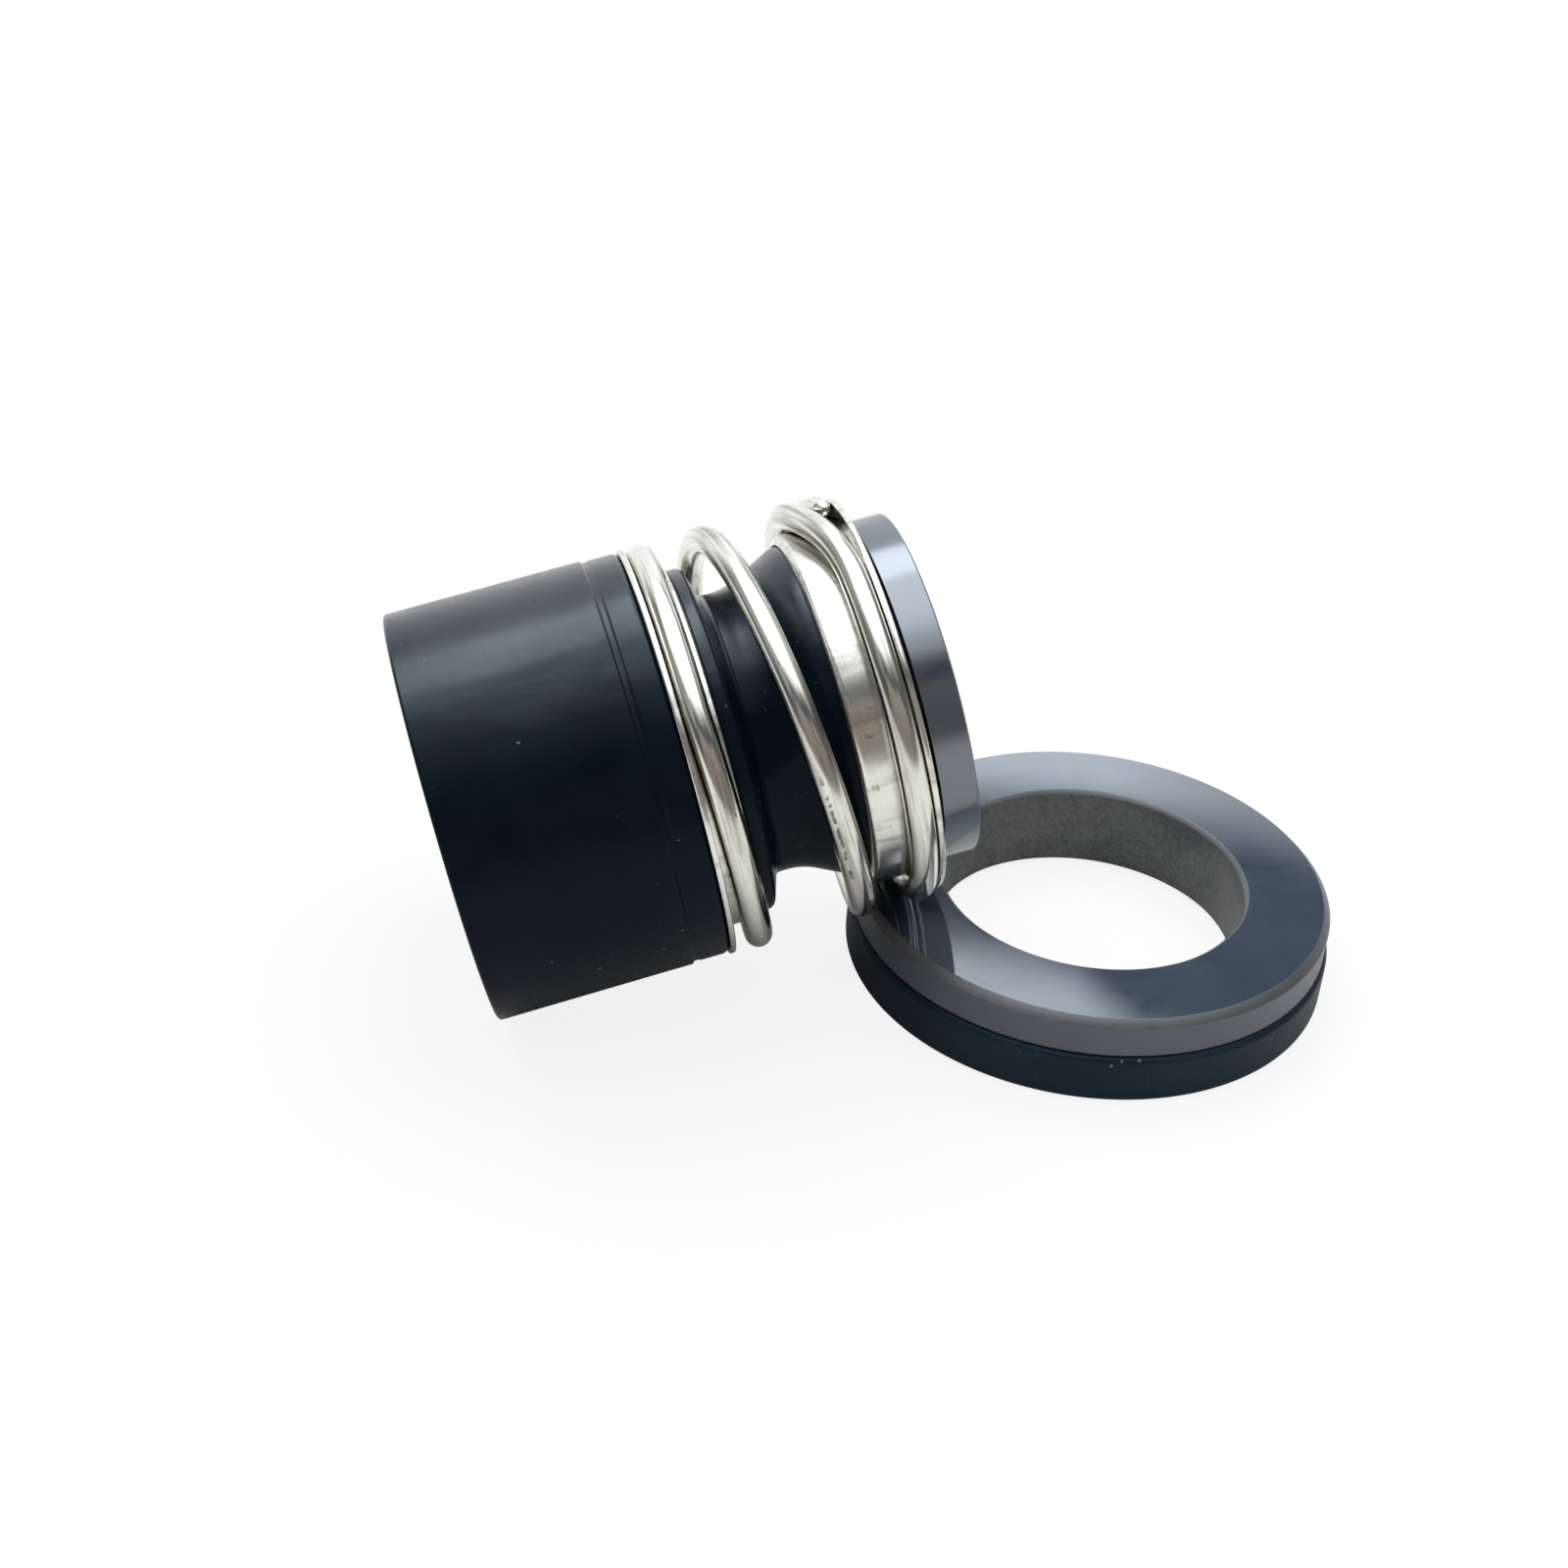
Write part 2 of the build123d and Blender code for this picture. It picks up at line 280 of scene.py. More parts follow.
class TreeCalls:
    """Short calls on a node tree, for the nodes that the finishes and the surroundings share."""

    def __init__(self, tree: bpy.types.NodeTree) -> None:
        """Take the tree that the calls add to.

        Args:
            tree: A material's or a world's node tree.
        """
        self.tree = tree

    def add(self, kind: str, **settings: object) -> bpy.types.Node:
        """Add a node and set its properties.

        Args:
            kind: Blender's name of the node type.
            **settings: Properties of the node.

        Returns:
            The node.
        """
        node = self.tree.nodes.new(kind)
        for key, value in settings.items():
            setattr(node, key, value)
        return node

    def link(self, source: Socket, target: Socket) -> None:
        """Join two sockets."""
        self.tree.links.new(source, target)

    def feed(self, socket: Socket, value: object) -> None:
        """Give a socket a link or a plain value.

        Args:
            socket: The input.
            value: Another node's output, a number or a tuple.
        """
        if isinstance(value, Socket):
            self.link(value, socket)
        else:
            socket.default_value = value

    def calc(
        self,
        operation: str,
        first: object,
        second: object = 0.0,
        third: object = 0.0,
        clamp: bool = False,
    ) -> Socket:
        """A Math node.

        Args:
            operation: Its operation.
            first: First value or socket.
            second: Second value or socket.
            third: Third value or socket.
            clamp: Whether the result is held between 0 and 1.

        Returns:
            The value output.
        """
        node = self.add("ShaderNodeMath", operation=operation, use_clamp=clamp)
        for socket, value in zip(node.inputs, (first, second, third)):
            self.feed(socket, value)
        return node.outputs["Value"]

    def times(self, first: object, second: object) -> Socket:
        """The product of two values."""
        return self.calc("MULTIPLY", first, second)

    def plus(self, first: object, second: object, clamp: bool = False) -> Socket:
        """The sum of two values, held between 0 and 1 if that is asked for."""
        return self.calc("ADD", first, second, clamp=clamp)

    def swing(self, pattern: Socket, share: float) -> Socket:
        """How far a pattern is off its middle value, times a share."""
        return self.times(self.calc("SUBTRACT", pattern, PATTERN_MIDDLE), share)

    def off_axis(self, across: Socket, over: Socket) -> Socket:
        """Distance from the axis, of a point's two parts at right angles to it."""
        return self.calc("SQRT", self.plus(self.times(across, across), self.times(over, over)))

    def split(self, vector: Socket) -> Sequence[Socket]:
        """The three parts of a vector."""
        parts = self.add("ShaderNodeSeparateXYZ")
        self.link(vector, parts.inputs[0])
        return parts.outputs[:3]

    def scaled(self, vector: Socket, scale: Scales) -> Socket:
        """A vector, scaled along each axis."""
        scaling = self.add("ShaderNodeMapping", vector_type="POINT")
        scaling.inputs["Scale"].default_value = scale
        self.link(vector, scaling.inputs["Vector"])
        return scaling.outputs["Vector"]

    def span(
        self,
        value: object,
        low: float,
        high: float,
        to_low: float = 0.0,
        to_high: float = 1.0,
        smooth: bool = False,
    ) -> Socket:
        """A clamped Map Range node.

        Args:
            value: The value to map.
            low: Where the range starts.
            high: Where it ends.
            to_low: Result at the start.
            to_high: Result at the end.
            smooth: Whether it eases in and out.

        Returns:
            The result output.
        """
        node = self.add("ShaderNodeMapRange", clamp=True)
        node.interpolation_type = "SMOOTHSTEP" if smooth else "LINEAR"
        keys = ("Value", "From Min", "From Max", "To Min", "To Max")
        for key, item in zip(keys, (value, low, high, to_low, to_high)):
            self.feed(node.inputs[key], item)
        return node.outputs["Result"]

    def noise(
        self,
        vector: Socket,
        scale: float,
        detail: float = 2.0,
        roughness: float = 0.5,
        distortion: float = 0.0,
    ) -> Socket:
        """A Noise Texture node.

        Args:
            vector: Where it is read.
            scale: Its scale.
            detail: Octaves.
            roughness: How much the finer octaves count.
            distortion: How far it is stirred.

        Returns:
            The factor output.
        """
        node = self.add("ShaderNodeTexNoise")
        keys = ("Vector", "Scale", "Detail", "Roughness", "Distortion")
        for key, item in zip(keys, (vector, scale, detail, roughness, distortion)):
            self.feed(node.inputs[key], item)
        return node.outputs["Fac"]

    def ramp(self, factor: Socket, stops: Sequence[Stop]) -> Socket:
        """A Color Ramp node.

        Args:
            factor: What it reads.
            stops: Positions and colours, in order.

        Returns:
            The colour output.
        """
        node = self.add("ShaderNodeValToRGB")
        elements = node.color_ramp.elements
        while len(elements) < len(stops):
            elements.new(0.5)
        for element, (position, colour) in zip(elements, stops):
            element.position = position
            element.color = (*colour, 1.0)
        self.link(factor, node.inputs["Fac"])
        return node.outputs["Color"]

    def mix(self, factor: object, first: object, second: object) -> Socket:
        """Mix two colours.

        Args:
            factor: Share of the second.
            first: Colour or socket.
            second: Colour or socket.

        Returns:
            The colour output.
        """
        node = self.add("ShaderNodeMix", data_type="RGBA")
        self.feed(node.inputs[0], factor)
        for socket, value in ((node.inputs[6], first), (node.inputs[7], second)):
            self.feed(socket, (*value, 1.0) if isinstance(value, tuple) else value)
        return node.outputs[2]

    def bump(
        self,
        height: Socket,
        distance: float,
        strength: float = 1.0,
        under: Optional[Socket] = None,
    ) -> Socket:
        """A Bump node.

        Args:
            height: Height from 0 to 1.
            distance: How high 1 stands, in metres.
            strength: Share of the effect.
            under: The normal of a bump below this one.

        Returns:
            The normal output.
        """
        node = self.add("ShaderNodeBump")
        node.inputs["Strength"].default_value = strength
        node.inputs["Distance"].default_value = distance
        self.link(height, node.inputs["Height"])
        if under is not None:
            self.link(under, node.inputs["Normal"])
        return node.outputs["Normal"]


class NodeGraph(TreeCalls):
    """A material that starts as one empty Principled surface."""

    def __init__(self, name: str) -> None:
        """Start the material.

        Args:
            name: Name of the material.
        """
        self.material = bpy.data.materials.new(name)
        self.material.use_nodes = True
        super().__init__(self.material.node_tree)
        self.tree.nodes.clear()
        self.surface = self.add("ShaderNodeBsdfPrincipled")
        output = self.add("ShaderNodeOutputMaterial")
        self.link(self.surface.outputs["BSDF"], output.inputs["Surface"])

    def set_surface(self, **values: object) -> None:
        """Set or link sockets of the Principled surface.

        Args:
            **values: Numbers, colours or sockets, by the socket's name in lower case with
                underscores for spaces. A number stays on the surface's own socket.
        """
        inputs = self.surface.inputs
        names = {socket.name.lower().replace(" ", "_"): socket for socket in inputs}
        for key, value in values.items():
            self.feed(names[key], value)

    def place(self, placement: Placement, scale: Scales = (1.0, 1.0, 1.0)) -> Socket:
        """Object coordinates, centred and turned on a piece and then scaled.

        Args:
            placement: The piece's own frame.
            scale: Factor along each of the piece's own axes.

        Returns:
            The vector output.
        """
        centring = self.add("ShaderNodeMapping", vector_type="TEXTURE")
        centring.inputs["Location"].default_value = placement.origin
        centring.inputs["Rotation"].default_value = placement.euler()
        self.link(self.add("ShaderNodeTexCoord").outputs["Object"], centring.inputs["Vector"])
        return self.scaled(centring.outputs["Vector"], scale)

    def around_axis(self, placement: Placement, across: float, along: float) -> Socket:
        """Coordinates that change slowly round the axis and fast across the turning marks.

        Args:
            placement: The piece's own frame.
            across: Scale round the axis.
            along: Scale over radius and station together.

        Returns:
            The vector output.
        """
        x, y, station = self.split(self.place(placement))
        reach = self.times(self.plus(self.off_axis(x, y), station), along)
        joined = self.add("ShaderNodeCombineXYZ")
        parts = (self.times(x, across), self.times(y, across), reach)
        for socket, part in zip(joined.inputs, parts):
            self.link(part, socket)
        return joined.outputs[0]


# ---- Finishes ----------------------------------------------------------------------------------


@dataclass(frozen=True)
class MouldedRubber:
    """Black moulded rubber with a cool bloom, mould marks, dust and fine scuffs, and a painted
    sheen on its uppermost side.

    Attributes:
        name: Name of the material.
        dark: Colour in the hollows of the bloom.
        bloom: Colour where the bloom lies.
        roughness: Middle roughness.
        dust: Colour of the dust specks and scuffs.
        sheen: Specular level of the clean rubber.
        painted_top_sheen: Specular level on the side that lies uppermost, a painted sheen that
            makes that side look lit from above.
        tint: Tint of the gloss.
        bloom_scale: Scale of the bloom's clouds.
        grain_scale: Scale of the moulded grain.
        ring_scales: Scales of the mould rings, round the axis and across them.
        relief: Height of the grain and of the rings, in metres.
        speck_scale: Scale of the dust specks.
        speck_edge: Distances from a speck's middle at which it starts and is full.
        speck_clouds: Scale of the clouds that let specks through.
        speck_share: Values of the clouds between which specks come through.
        scuff_scales: Scales of the scuffs, which run along the axis.
        scuff_edge: Values between which a scuff comes through.
        painted_sheen_streak_scales: Scales of the streaks in the painted sheen.
        painted_sheen_edge: How far up a place faces where the painted sheen starts and is full.
        painted_sheen_rim: Stations between which the painted sheen grows from the rim on.
        painted_sheen_at_rim: Share of the painted sheen at the rim.
    """

    name: str
    dark: Colour = (0.0018, 0.0046, 0.0092)
    bloom: Colour = (0.0032, 0.0070, 0.0130)
    roughness: float = 0.25
    dust: Colour = (0.24, 0.25, 0.26)
    sheen: float = 0.08
    # Painted sheen: a higher specular level on the uppermost side, so that it looks lit from above.
    painted_top_sheen: float = 0.44
    tint: Colour = (0.80, 0.92, 1.0)
    bloom_scale: float = 180.0
    grain_scale: float = 620.0
    ring_scales: Span = (40.0, 2600.0)
    relief: float = 0.000006
    speck_scale: float = 870.0
    speck_edge: Span = (0.15, 0.08)
    speck_clouds: float = 415.0
    speck_share: Span = (0.585, 0.64)
    scuff_scales: Scales = (1500.0, 700.0, 160.0)
    scuff_edge: Span = (0.74, 0.79)
    # Streaks, edge and rim of the painted sheen on the uppermost side.
    painted_sheen_streak_scales: Scales = (150.0, 150.0, 60.0)
    painted_sheen_edge: Span = (0.76, 1.00)
    painted_sheen_rim: Span = (0.001, 0.008)
    painted_sheen_at_rim: float = 0.70

    def marks(self, g: NodeGraph, placement: Placement, grain: Socket) -> Socket:
        """Where dust specks and scuffs lie.

        Args:
            g: The material.
            placement: Frame of the turned piece.
            grain: The moulded grain, which breaks the scuffs up.

        Returns:
            How strongly a mark shows.
        """
        rows = g.place(placement)
        grit = g.add("ShaderNodeTexVoronoi", feature="F1")
        grit.inputs["Scale"].default_value = self.speck_scale
        g.link(rows, grit.inputs["Vector"])
        rare = g.span(g.noise(rows, self.speck_clouds, 3.0, 0.7, 1.5), *self.speck_share)
        speck = g.times(g.span(grit.outputs["Distance"], *self.speck_edge), rare)
        scuffs = g.noise(g.place(placement, self.scuff_scales), 1.0, 2.0, 0.5, 1.2)
        scuff = g.times(g.span(scuffs, *self.scuff_edge), g.span(grain, 0.5, 0.6))
        return g.calc("MAXIMUM", g.times(speck, 0.7), g.times(scuff, 0.25))

    def gloss(self, g: NodeGraph, placement: Placement) -> Socket:
        """Specular level of the rubber, with a painted sheen on the side that lies uppermost.

        Args:
            g: The material.
            placement: Frame of the turned piece, whose X points down.

        Returns:
            The level.
        """
        # Painted sheen: the side that faces up gets the higher specular level, so that it looks lit
        # from above.
        x, y, station = g.split(g.place(placement))
        upper = g.calc("DIVIDE", x, g.times(g.off_axis(x, y), -1.0))
        streaks = g.noise(g.place(placement, self.painted_sheen_streak_scales), 1.0, 4.0, 0.6, 0.5)
        painted_sheen_cover = g.span(g.plus(upper, g.swing(streaks, 0.25)), *self.painted_sheen_edge, smooth=True)
        streaked_painted_sheen = g.span(streaks, 0.3, 0.7, self.painted_top_sheen * 0.8, self.painted_top_sheen * 1.2)
        full = g.times(streaked_painted_sheen, g.span(station, *self.painted_sheen_rim, self.painted_sheen_at_rim, 1.0))
        return g.calc("MULTIPLY_ADD", painted_sheen_cover, g.calc("SUBTRACT", full, self.sheen), self.sheen)

    def make(self, placement: Placement) -> bpy.types.Material:
        """Build the material.

        Args:
            placement: Frame of the turned piece, for the marks round its axis.

        Returns:
            The material.
        """
        g = NodeGraph(self.name)
        rows = g.place(placement)
        bloom = g.noise(rows, self.bloom_scale, 4.0, 0.55, 0.4)
        rings = g.noise(g.around_axis(placement, *self.ring_scales), 1.0, 3.0, 0.6)
        grain = g.noise(rows, self.grain_scale, 5.0, 0.6)
        marks = self.marks(g, placement, grain)
        clean = g.mix(g.span(bloom, 0.35, 0.7), self.dark, self.bloom)
        dull = g.span(bloom, 0.3, 0.7, self.roughness - 0.05, self.roughness + 0.06)
        rough = g.plus(g.plus(dull, g.swing(rings, 0.10)), g.times(marks, 0.3), clamp=True)
        g.set_surface(
            base_color=g.mix(marks, clean, self.dust),
            roughness=rough,
            normal=g.bump(rings, self.relief, 0.8, g.bump(grain, self.relief, 0.6)),
            # The specular level carries the painted sheen on the uppermost side.
            specular_ior_level=self.gloss(g, placement),
            specular_tint=(*self.tint, 1.0),
            ior=1.5,
        )
        return g.material


@dataclass(frozen=True)
class DrawnWire:
    """Bright drawn spring wire, with draw lines along it and coiling marks.

    Attributes:
        name: Name of the material.
        colour: Colour of the bright metal.
        shade: Colour of the duller streaks.
        pit_colour: Colour of the drawing pits.
        roughness: Middle roughness.
        line_scales: Scales of the draw lines, across the wire and along it.
        line_height: Height of the draw lines, in metres.
        stain_scales: Scales of the stained patches.
        nick_scales: Scales of the nicks.
        nick_depth: Depth of the nicks, in metres.
        pit_side: Where a broken line of pits runs, from the coil's outside towards its tail.
        pit_start: Where the line of pits starts, along the wire, in metres.
        pit_end: Where it ends.
        pit_fade: Length over which it fades in and out.
        pit_edge: Reach of the wire's side at which a pit starts and is full.
        pit_scales: Scales that break the line up.
    """

    name: str
    colour: Colour = (0.73, 0.72, 0.66)
    shade: Colour = (0.36, 0.335, 0.295)
    pit_colour: Colour = (0.07, 0.065, 0.055)
    roughness: float = 0.10
    line_scales: Scales = (2600.0, 2600.0, 70.0)
    line_height: float = 0.0000030
    stain_scales: Scales = (700.0, 700.0, 160.0)
    nick_scales: Scales = (1500.0, 1500.0, 900.0)
    nick_depth: float = 0.000010
    pit_side: float = math.radians(28.0)
    pit_start: float = 0.1490
    pit_end: float = 0.1600
    pit_fade: float = 0.0015
    pit_edge: Span = (0.000936, 0.000943)
    pit_scales: Scales = (900.0, 900.0, 1300.0)

    def pits(self, g: NodeGraph, wire: Socket) -> Socket:
        """Where the broken line of drawing pits lies.

        Args:
            g: The material.
            wire: Place on the straight wire.

        Returns:
            How strongly a pit shows.
        """
        out, aside, along = g.split(wire)
        turned_aside = g.times(aside, math.sin(self.pit_side))
        reach = g.calc("MULTIPLY_ADD", out, math.cos(self.pit_side), turned_aside)
        begun = g.span(along, self.pit_start, self.pit_start + self.pit_fade)
        going = g.span(along, self.pit_end, self.pit_end - self.pit_fade)
        beads = g.span(g.noise(g.scaled(wire, self.pit_scales), 1.0, 1.0), 0.50, 0.56)
        spaced = g.times(beads, g.times(begun, going))
        return g.times(g.span(reach, *self.pit_edge, 0.0, 0.8), spaced)

    def make(self) -> bpy.types.Material:
        """Build the material, which reads the wire's own place from its attribute."""
        g = NodeGraph(self.name)
        attribute = g.add("ShaderNodeAttribute", attribute_name=WIRE_PLACE)
        attribute.attribute_type = "GEOMETRY"
        wire = attribute.outputs["Vector"]
        lines = g.noise(g.scaled(wire, self.line_scales), 1.0, 3.0, 0.6)
        stain = g.noise(g.scaled(wire, self.stain_scales), 1.0, 4.0, 0.6, 0.3)
        dents = g.span(g.noise(g.scaled(wire, self.nick_scales), 1.0, 2.0), 0.68, 0.74)
        nicks = g.times(dents, g.span(stain, 0.48, 0.62))
        streaks = g.span(lines, 0.51, 0.66, 0.0, 0.85)
        dull = g.plus(streaks, g.span(stain, 0.50, 0.72, 0.0, 0.40), clamp=True)
        worn = g.mix(g.calc("MAXIMUM", dull, nicks), self.colour, self.shade)
        matt = g.span(stain, 0.3, 0.75, self.roughness - 0.04, self.roughness + 0.10)
        relief = g.bump(lines, self.line_height, 0.7)
        g.set_surface(
            base_color=g.mix(self.pits(g, wire), worn, self.pit_colour),
            roughness=g.plus(matt, g.times(lines, 0.06), clamp=True),
            normal=g.bump(nicks, self.nick_depth, 0.6, relief),
            metallic=1.0,
        )
        return g.material


@dataclass(frozen=True)
class PressedSteel:
    """Pressed stainless sheet: press marks round the axis, smudges and slightly dull patches.

    Attributes:
        name: Name of the material.
        colour: Colour of the bright sheet.
        smudge: Colour of the smudges.
        roughness: Middle roughness.
        line_scales: Scales of the press marks, round the axis and across them.
        line_height: Height of the press marks, in metres.
        smear_scales: Scales of the smears.
        spot_scale: Scale of the spots.
    """

    name: str
    colour: Colour = (0.73, 0.72, 0.66)
    smudge: Colour = (0.30, 0.28, 0.25)
    roughness: float = 0.14
    line_scales: Span = (30.0, 4200.0)
    line_height: float = 0.0000035
    smear_scales: Scales = (420.0, 420.0, 90.0)
    spot_scale: float = 1500.0

    def make(self, placement: Placement) -> bpy.types.Material:
        """Build the material.

        Args:
            placement: Frame of the collar.

        Returns:
            The material.
        """
        g = NodeGraph(self.name)
        lines = g.noise(g.around_axis(placement, *self.line_scales), 1.0, 4.0, 0.65)
        smear = g.noise(g.place(placement, self.smear_scales), 1.0, 5.0, 0.6, 0.6)
        spots = g.noise(g.place(placement), self.spot_scale, 2.0, 0.5)
        smears = g.span(smear, 0.52, 0.68, 0.0, 0.60)
        dirt = g.plus(smears, g.span(spots, 0.64, 0.72, 0.0, 0.6), clamp=True)
        dull = g.plus(dirt, g.span(lines, 0.5, 0.8, 0.0, 0.25), clamp=True)
        matt = g.span(smear, 0.3, 0.75, self.roughness - 0.05, self.roughness + 0.12)
        g.set_surface(
            base_color=g.mix(dull, self.colour, self.smudge),
            roughness=g.plus(matt, g.times(lines, 0.08), clamp=True),
            normal=g.bump(lines, self.line_height, 0.8),
            metallic=1.0,
        )
        return g.material


class CarbideSurface(Enum):
    """How a carbide surface was finished, with the number of its faces."""

    LAPPED = 0
    GROUND = 1
    AS_PRESSED = 2
    CHAMFER = 3


@dataclass(frozen=True)
class Carbide:
    """Sintered carbide in one of its finishes.

    Attributes:
        name: Name of the material.
        surface: How it was finished.
        dark: Darker grains.
        light: Lighter grains.
        roughness: Middle roughness.
        marks: Height of the grinding marks, in metres.
        specular: Specular level of the surface.
        ior: Index of refraction.
        tint: Tint of the gloss.
        grain_scale: Scale of the grains.
        pressed_clouds: Scale of the clouds where the surface is as pressed.
        machined_clouds: Scale of the clouds elsewhere.
        line_scales: Scales of the grinding marks, round the axis and across them.
        pressed_relief: Height of the grains where the surface is as pressed, in metres.
    """

    name: str
    surface: CarbideSurface
    dark: Colour
    light: Colour
    roughness: float
    marks: float
    specular: float = 0.5
    ior: float = 2.65
    tint: Colour = (0.88, 0.94, 1.0)
    grain_scale: float = 2600.0
    pressed_clouds: float = 125.0
    machined_clouds: float = 150.0
    line_scales: Span = (35.0, 3600.0)
    pressed_relief: float = 0.000006

    def make(self, placement: Placement) -> bpy.types.Material:
        """Build the material.

        Args:
            placement: Frame of the ring.

        Returns:
            The material.
        """
        g = NodeGraph(self.name)
        rows = g.place(placement)
        pressed = self.surface is CarbideSurface.AS_PRESSED
        low, high = (0.40, 0.60) if pressed else (0.34, 0.70)
        spread = 0.10 if pressed else 0.03
        relief = self.pressed_relief if pressed else self.marks / 2
        grain = g.noise(rows, self.grain_scale, 4.0, 0.7)
        clouds = self.pressed_clouds if pressed else self.machined_clouds
        cloud = g.noise(rows, clouds, 4.0, 0.6, 0.8)
        lines = g.noise(g.around_axis(placement, *self.line_scales), 1.0, 3.0, 0.6)
        tone = g.plus(g.times(grain, 0.45), g.times(cloud, 0.55))
        matt = g.span(cloud, 0.3, 0.7, self.roughness - spread, self.roughness + spread)
        g.set_surface(
            base_color=g.mix(g.span(tone, low, high), self.dark, self.light),
            roughness=g.plus(matt, g.swing(lines, 0.06), clamp=True),
            normal=g.bump(lines, self.marks, 0.8, g.bump(grain, relief, 0.8)),
            ior=self.ior,
            specular_ior_level=self.specular,
            specular_tint=(*self.tint, 1.0),
        )
        return g.material


def dress(piece: bpy.types.Object, materials: Sequence[bpy.types.Material]) -> None:
    """Give a piece its materials, in the order of its faces' numbers."""
    for material in materials:
        piece.data.materials.append(material)


# ---- Rotary head -------------------------------------------------------------------------------


@dataclass
class RubberBellows:
    """Tail, fold, neck and head pocket of the bellows, moulded in one piece."""

    place: Placement
    shaft_radius: float = 0.0100
    lead_in: float = 0.0008
    tail_radius: float = 0.0165
    tail_length: float = 0.01875
    rim_radius: float = 0.0003
    shoulder_radius: float = 0.0005
    groove_from_collar: float = 0.0030
    groove_width: float = 0.0007
    groove_depth: float = 0.0002
    land_drop: float = 0.00012
    collar_bore: float = 0.0139
    fold_start: float = 0.02205
    fold_width: float = 0.0011
    fold_wall: float = 0.0015
    fold_radius: float = 0.0140
    neck_radius: float = 0.0114
    neck_length: float = 0.00225
    neck_bore: float = 0.0103
    flare_end: float = 0.03065
    hook_front: float = 0.03195
    hook_radius: float = 0.0136
    pocket_radius: float = 0.0138
    pocket_end: float = 0.0368
    stem_bore: float = 0.0128
    stem_lip: float = 0.01135
    pocket_floor: float = 0.0316
    back_wall: float = 0.0016
    mouth_edge: float = 0.0002
    bore_edge: float = 0.0001
    groove_edge: float = 0.00008
    fold_rise: float = 0.0001
    fold_edge: float = 0.00006
    pocket_edge: float = 0.00015
    longest_edge: float = 0.0012
    blend_start: float = 0.02195
    blend_end: float = 0.0311

    def outside(self) -> List[Corner]:
        """Outer half of the section, from the tail's mouth to the pocket's edge."""
        groove_far = self.tail_length - self.groove_from_collar
        groove_near = groove_far + self.groove_width
        slope = self.groove_width / 4
        floor = self.tail_radius - self.groove_depth
        land = self.tail_radius - self.land_drop
        fold_end = self.fold_start + self.fold_width
        neck_start = fold_end + (self.fold_radius - self.neck_radius) / 3
        return [
            Corner(self.shaft_radius + self.lead_in, 0.0, self.mouth_edge),
            Corner(self.tail_radius, 0.0, self.rim_radius, 8),
            Corner(self.tail_radius, groove_far, self.groove_edge, 2),
            Corner(floor, groove_far + slope, slope / 2, 3),
            Corner(floor, groove_near - slope, slope / 2, 3),
            Corner(land, groove_near, self.groove_edge, 2),
            Corner(land, self.tail_length, self.shoulder_radius, 8),
            Corner(self.collar_bore, self.tail_length),
            Corner(self.collar_bore, self.fold_start),
            Corner(self.fold_radius, self.fold_start + self.fold_rise, self.fold_edge, 2),
            Corner(self.fold_radius, fold_end, self.fold_width / 2, 10),
            Corner(self.neck_radius, neck_start, self.fold_width / 2, 8),
            Corner(self.neck_radius, neck_start + self.neck_length, self.neck_length * 2, 12),
            Corner(self.hook_radius, self.flare_end, self.neck_length, 8),
            Corner(self.hook_radius, self.hook_front),
            Corner(self.pocket_radius, self.hook_front),
            Corner(self.pocket_radius, self.pocket_end, self.pocket_edge, 3),
        ]

    def inside(self) -> List[Corner]:
        """Inner half of the section, from the pocket's edge back to the tail's mouth."""
        fold_end = self.fold_start + self.fold_width
        cavity = self.fold_radius - self.fold_wall
        quarter = self.fold_width / 4
        return [
            Corner(self.stem_bore, self.pocket_end, self.pocket_edge, 3),
            Corner(self.stem_bore, self.pocket_floor),
            Corner(self.stem_lip, self.pocket_floor, self.mouth_edge, 3),
            Corner(self.neck_bore, self.pocket_floor - self.back_wall, self.mouth_edge, 3),
            Corner(self.neck_bore, fold_end + self.fold_wall / 2, quarter),
            Corner(cavity, fold_end - self.fold_wall / 2, quarter),
            Corner(cavity, self.fold_start, quarter),
            Corner(self.shaft_radius, self.tail_length, quarter),
            Corner(self.shaft_radius, self.lead_in, self.bore_edge, 2),
        ]

    def build(self, rubber: MouldedRubber) -> bpy.types.Object:
        """Build and dress the bellows.

        Args:
            rubber: Its finish.

        Returns:
            The bellows.
        """
        section = self.outside() + self.inside()
        piece = turned("bellows_skin", section, self.place, self.longest_edge)
        dress(piece, [rubber.make(self.place)])
        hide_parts("bellows")
        self.place.on_axis(self.blend_start)
        self.place.on_axis(self.blend_end)
        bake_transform(piece)
        return piece


